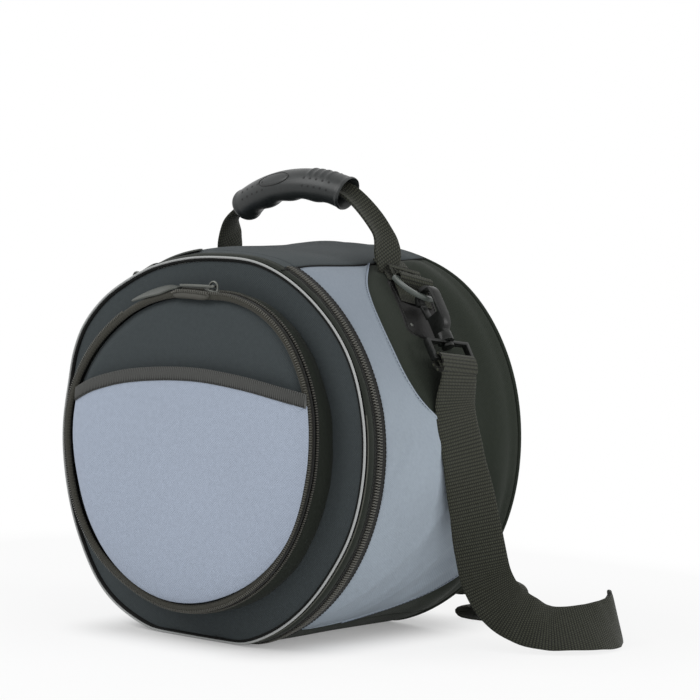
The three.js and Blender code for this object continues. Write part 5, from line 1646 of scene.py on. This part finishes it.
class OBJECT_OT_bag_stage(bpy.types.Operator):
    """Sets the pale floor, the white surroundings and the studio lamps"""

    bl_idname = "object.bag_stage"
    bl_label = "Stage"

    def execute(self, context):
        look = context.scene.cooler_bag
        floor = basic_shape(bpy.ops.mesh.primitive_circle_add, vertices=64, radius=FLOOR_RADIUS,
                            fill_type="NGON", location=(0, 0, FLOOR_Z))
        floor.name = "floor"
        floor.data.materials.append(self.floor_material())
        self.world(look.world_light)
        for name, place, size, power in (
            ("Key", (-1.4, -2.2, 2.3), 2.0, look.key_light),
            ("Fill", (2.6, -1.2, 1.2), 2.2, look.fill_light),
            ("Top", (0.2, 0.8, 2.6), 1.8, look.top_light),
            ("Rear", (2.3, 1.5, 0.9), 1.2, look.rear_light),
        ):
            lamp = bpy.data.lights.new(name, "AREA")
            lamp.size = size
            lamp.energy = power
            fitting = add_object(name, lamp)
            fitting.location = place
            beam = LAMP_TARGET - Vector(place)
            fitting.rotation_euler = beam.to_track_quat("-Z", "Y").to_euler()
        context.scene.view_settings.view_transform = "Standard"
        return {"FINISHED"}

    def white_to_camera(self, tree):
        """1 where the camera, a reflection or a clear piece looks straight at the surroundings."""
        path = add_node(tree, "LightPath").outputs
        either = calculate(tree, "MAXIMUM", path["Is Camera Ray"], path["Is Glossy Ray"])
        return calculate(tree, "MAXIMUM", either, path["Is Transmission Ray"])

    def world(self, strength):
        world = bpy.data.worlds.new("Studio")
        bpy.context.scene.world = world
        tree = blank_tree(world)
        brightness = calculate(tree, "MULTIPLY_ADD", self.white_to_camera(tree), 1 - strength, strength)
        sky = add_node(tree, "Background", {"Color": (1, 1, 1, 1), "Strength": brightness})
        add_node(tree, "OutputWorld", {0: sky.outputs[0]})

    def floor_material(self):
        made = bpy.data.materials.new("Pale floor")
        tree = blank_tree(made)
        place = add_node(tree, "TexCoord").outputs["Object"]
        split = add_node(tree, "SeparateXYZ", {0: place}).outputs
        squares = []
        for axis, half in ((0, 0.06), (1, 0.095)):
            outside = calculate(tree, "SUBTRACT", calculate(tree, "ABSOLUTE", split[axis]), half)
            gap = calculate(tree, "MAXIMUM", outside, 0)
            squares.append(calculate(tree, "MULTIPLY", gap, gap))
        away = calculate(tree, "SQRT", calculate(tree, "ADD", *squares))
        near = eased(tree, away, 0.0, 0.07, 0.25, 0.82)
        fade = eased(tree, away, 0.15, 0.5, 0.0, 1.0)
        bright = calculate(tree, "MAXIMUM", near, fade)
        share = calculate(tree, "MULTIPLY", bright, self.white_to_camera(tree))
        matt = add_node(tree, "BsdfDiffuse", {"Color": (0.9, 0.9, 0.9, 1)})
        glow = add_node(tree, "Emission", {"Color": (1, 1, 1, 1), "Strength": 1.0})
        blended = add_node(tree, "MixShader", {0: share, 1: matt.outputs[0], 2: glow.outputs[0]})
        add_node(tree, "OutputMaterial", {0: blended.outputs[0]})
        return made


def colour_setting(name, part, shade):
    return FloatVectorProperty(name=name, description="Colour of the " + part, subtype="COLOR", size=4,
                               default=linear(*shade))


def lamp_setting(name, place, power):
    return FloatProperty(name=name, description="Lamp " + place, default=power, min=0, unit="POWER")


class CoolerBagSettings(bpy.types.PropertyGroup):
    """Colours and light levels that a user would change."""

    black: colour_setting("Black fabric", "lid and the top", (61, 67, 69))
    side_black: colour_setting("Side black", "black side panels", (38, 43, 36))
    side_blue: colour_setting("Side blue", "coloured side panels", (147, 157, 167))
    pocket_blue: colour_setting("Pocket blue", "slip pocket", (161, 171, 187))
    world_light: FloatProperty(
        name="Surroundings", description="Light of the surroundings", default=0.55, min=0)
    key_light: lamp_setting("Key lamp", "in front", 44.0)
    fill_light: lamp_setting("Fill lamp", "at the side", 16.0)
    rear_light: lamp_setting("Rear lamp", "behind the side", 20.0)
    top_light: lamp_setting("Top lamp", "overhead", 6.0)


PIECE_OPERATORS = (
    OBJECT_OT_bag_camera,
    OBJECT_OT_bag_strap,
    OBJECT_OT_bag_drum,
    OBJECT_OT_bag_lid,
    OBJECT_OT_bag_pocket,
    OBJECT_OT_bag_handle,
    OBJECT_OT_bag_anchors,
    OBJECT_OT_bag_sliders,
    OBJECT_OT_bag_stage,
)


class VIEW3D_PT_cooler_bag(bpy.types.Panel):
    """Lists the settings and the pieces in the sidebar"""

    bl_label = "Cooler bag"
    bl_idname = "VIEW3D_PT_cooler_bag"
    bl_space_type = "VIEW_3D"
    bl_region_type = "UI"
    bl_category = "Cooler bag"

    def draw(self, context):
        look = context.scene.cooler_bag
        for name in CoolerBagSettings.__annotations__:
            self.layout.prop(look, name)
        for operator in PIECE_OPERATORS:
            self.layout.operator(operator.bl_idname)


CLASSES = (CoolerBagSettings, *PIECE_OPERATORS, VIEW3D_PT_cooler_bag)


def register():
    for made in CLASSES:
        bpy.utils.register_class(made)
    bpy.types.Scene.cooler_bag = PointerProperty(type=CoolerBagSettings)


def unregister():
    del bpy.types.Scene.cooler_bag
    for made in reversed(CLASSES):
        bpy.utils.unregister_class(made)


def main():
    register()
    for operator in PIECE_OPERATORS:
        area, name = operator.bl_idname.split(".")
        getattr(getattr(bpy.ops, area), name)()
    bpy.context.view_layer.update()


if __name__ == "__main__":
    main()
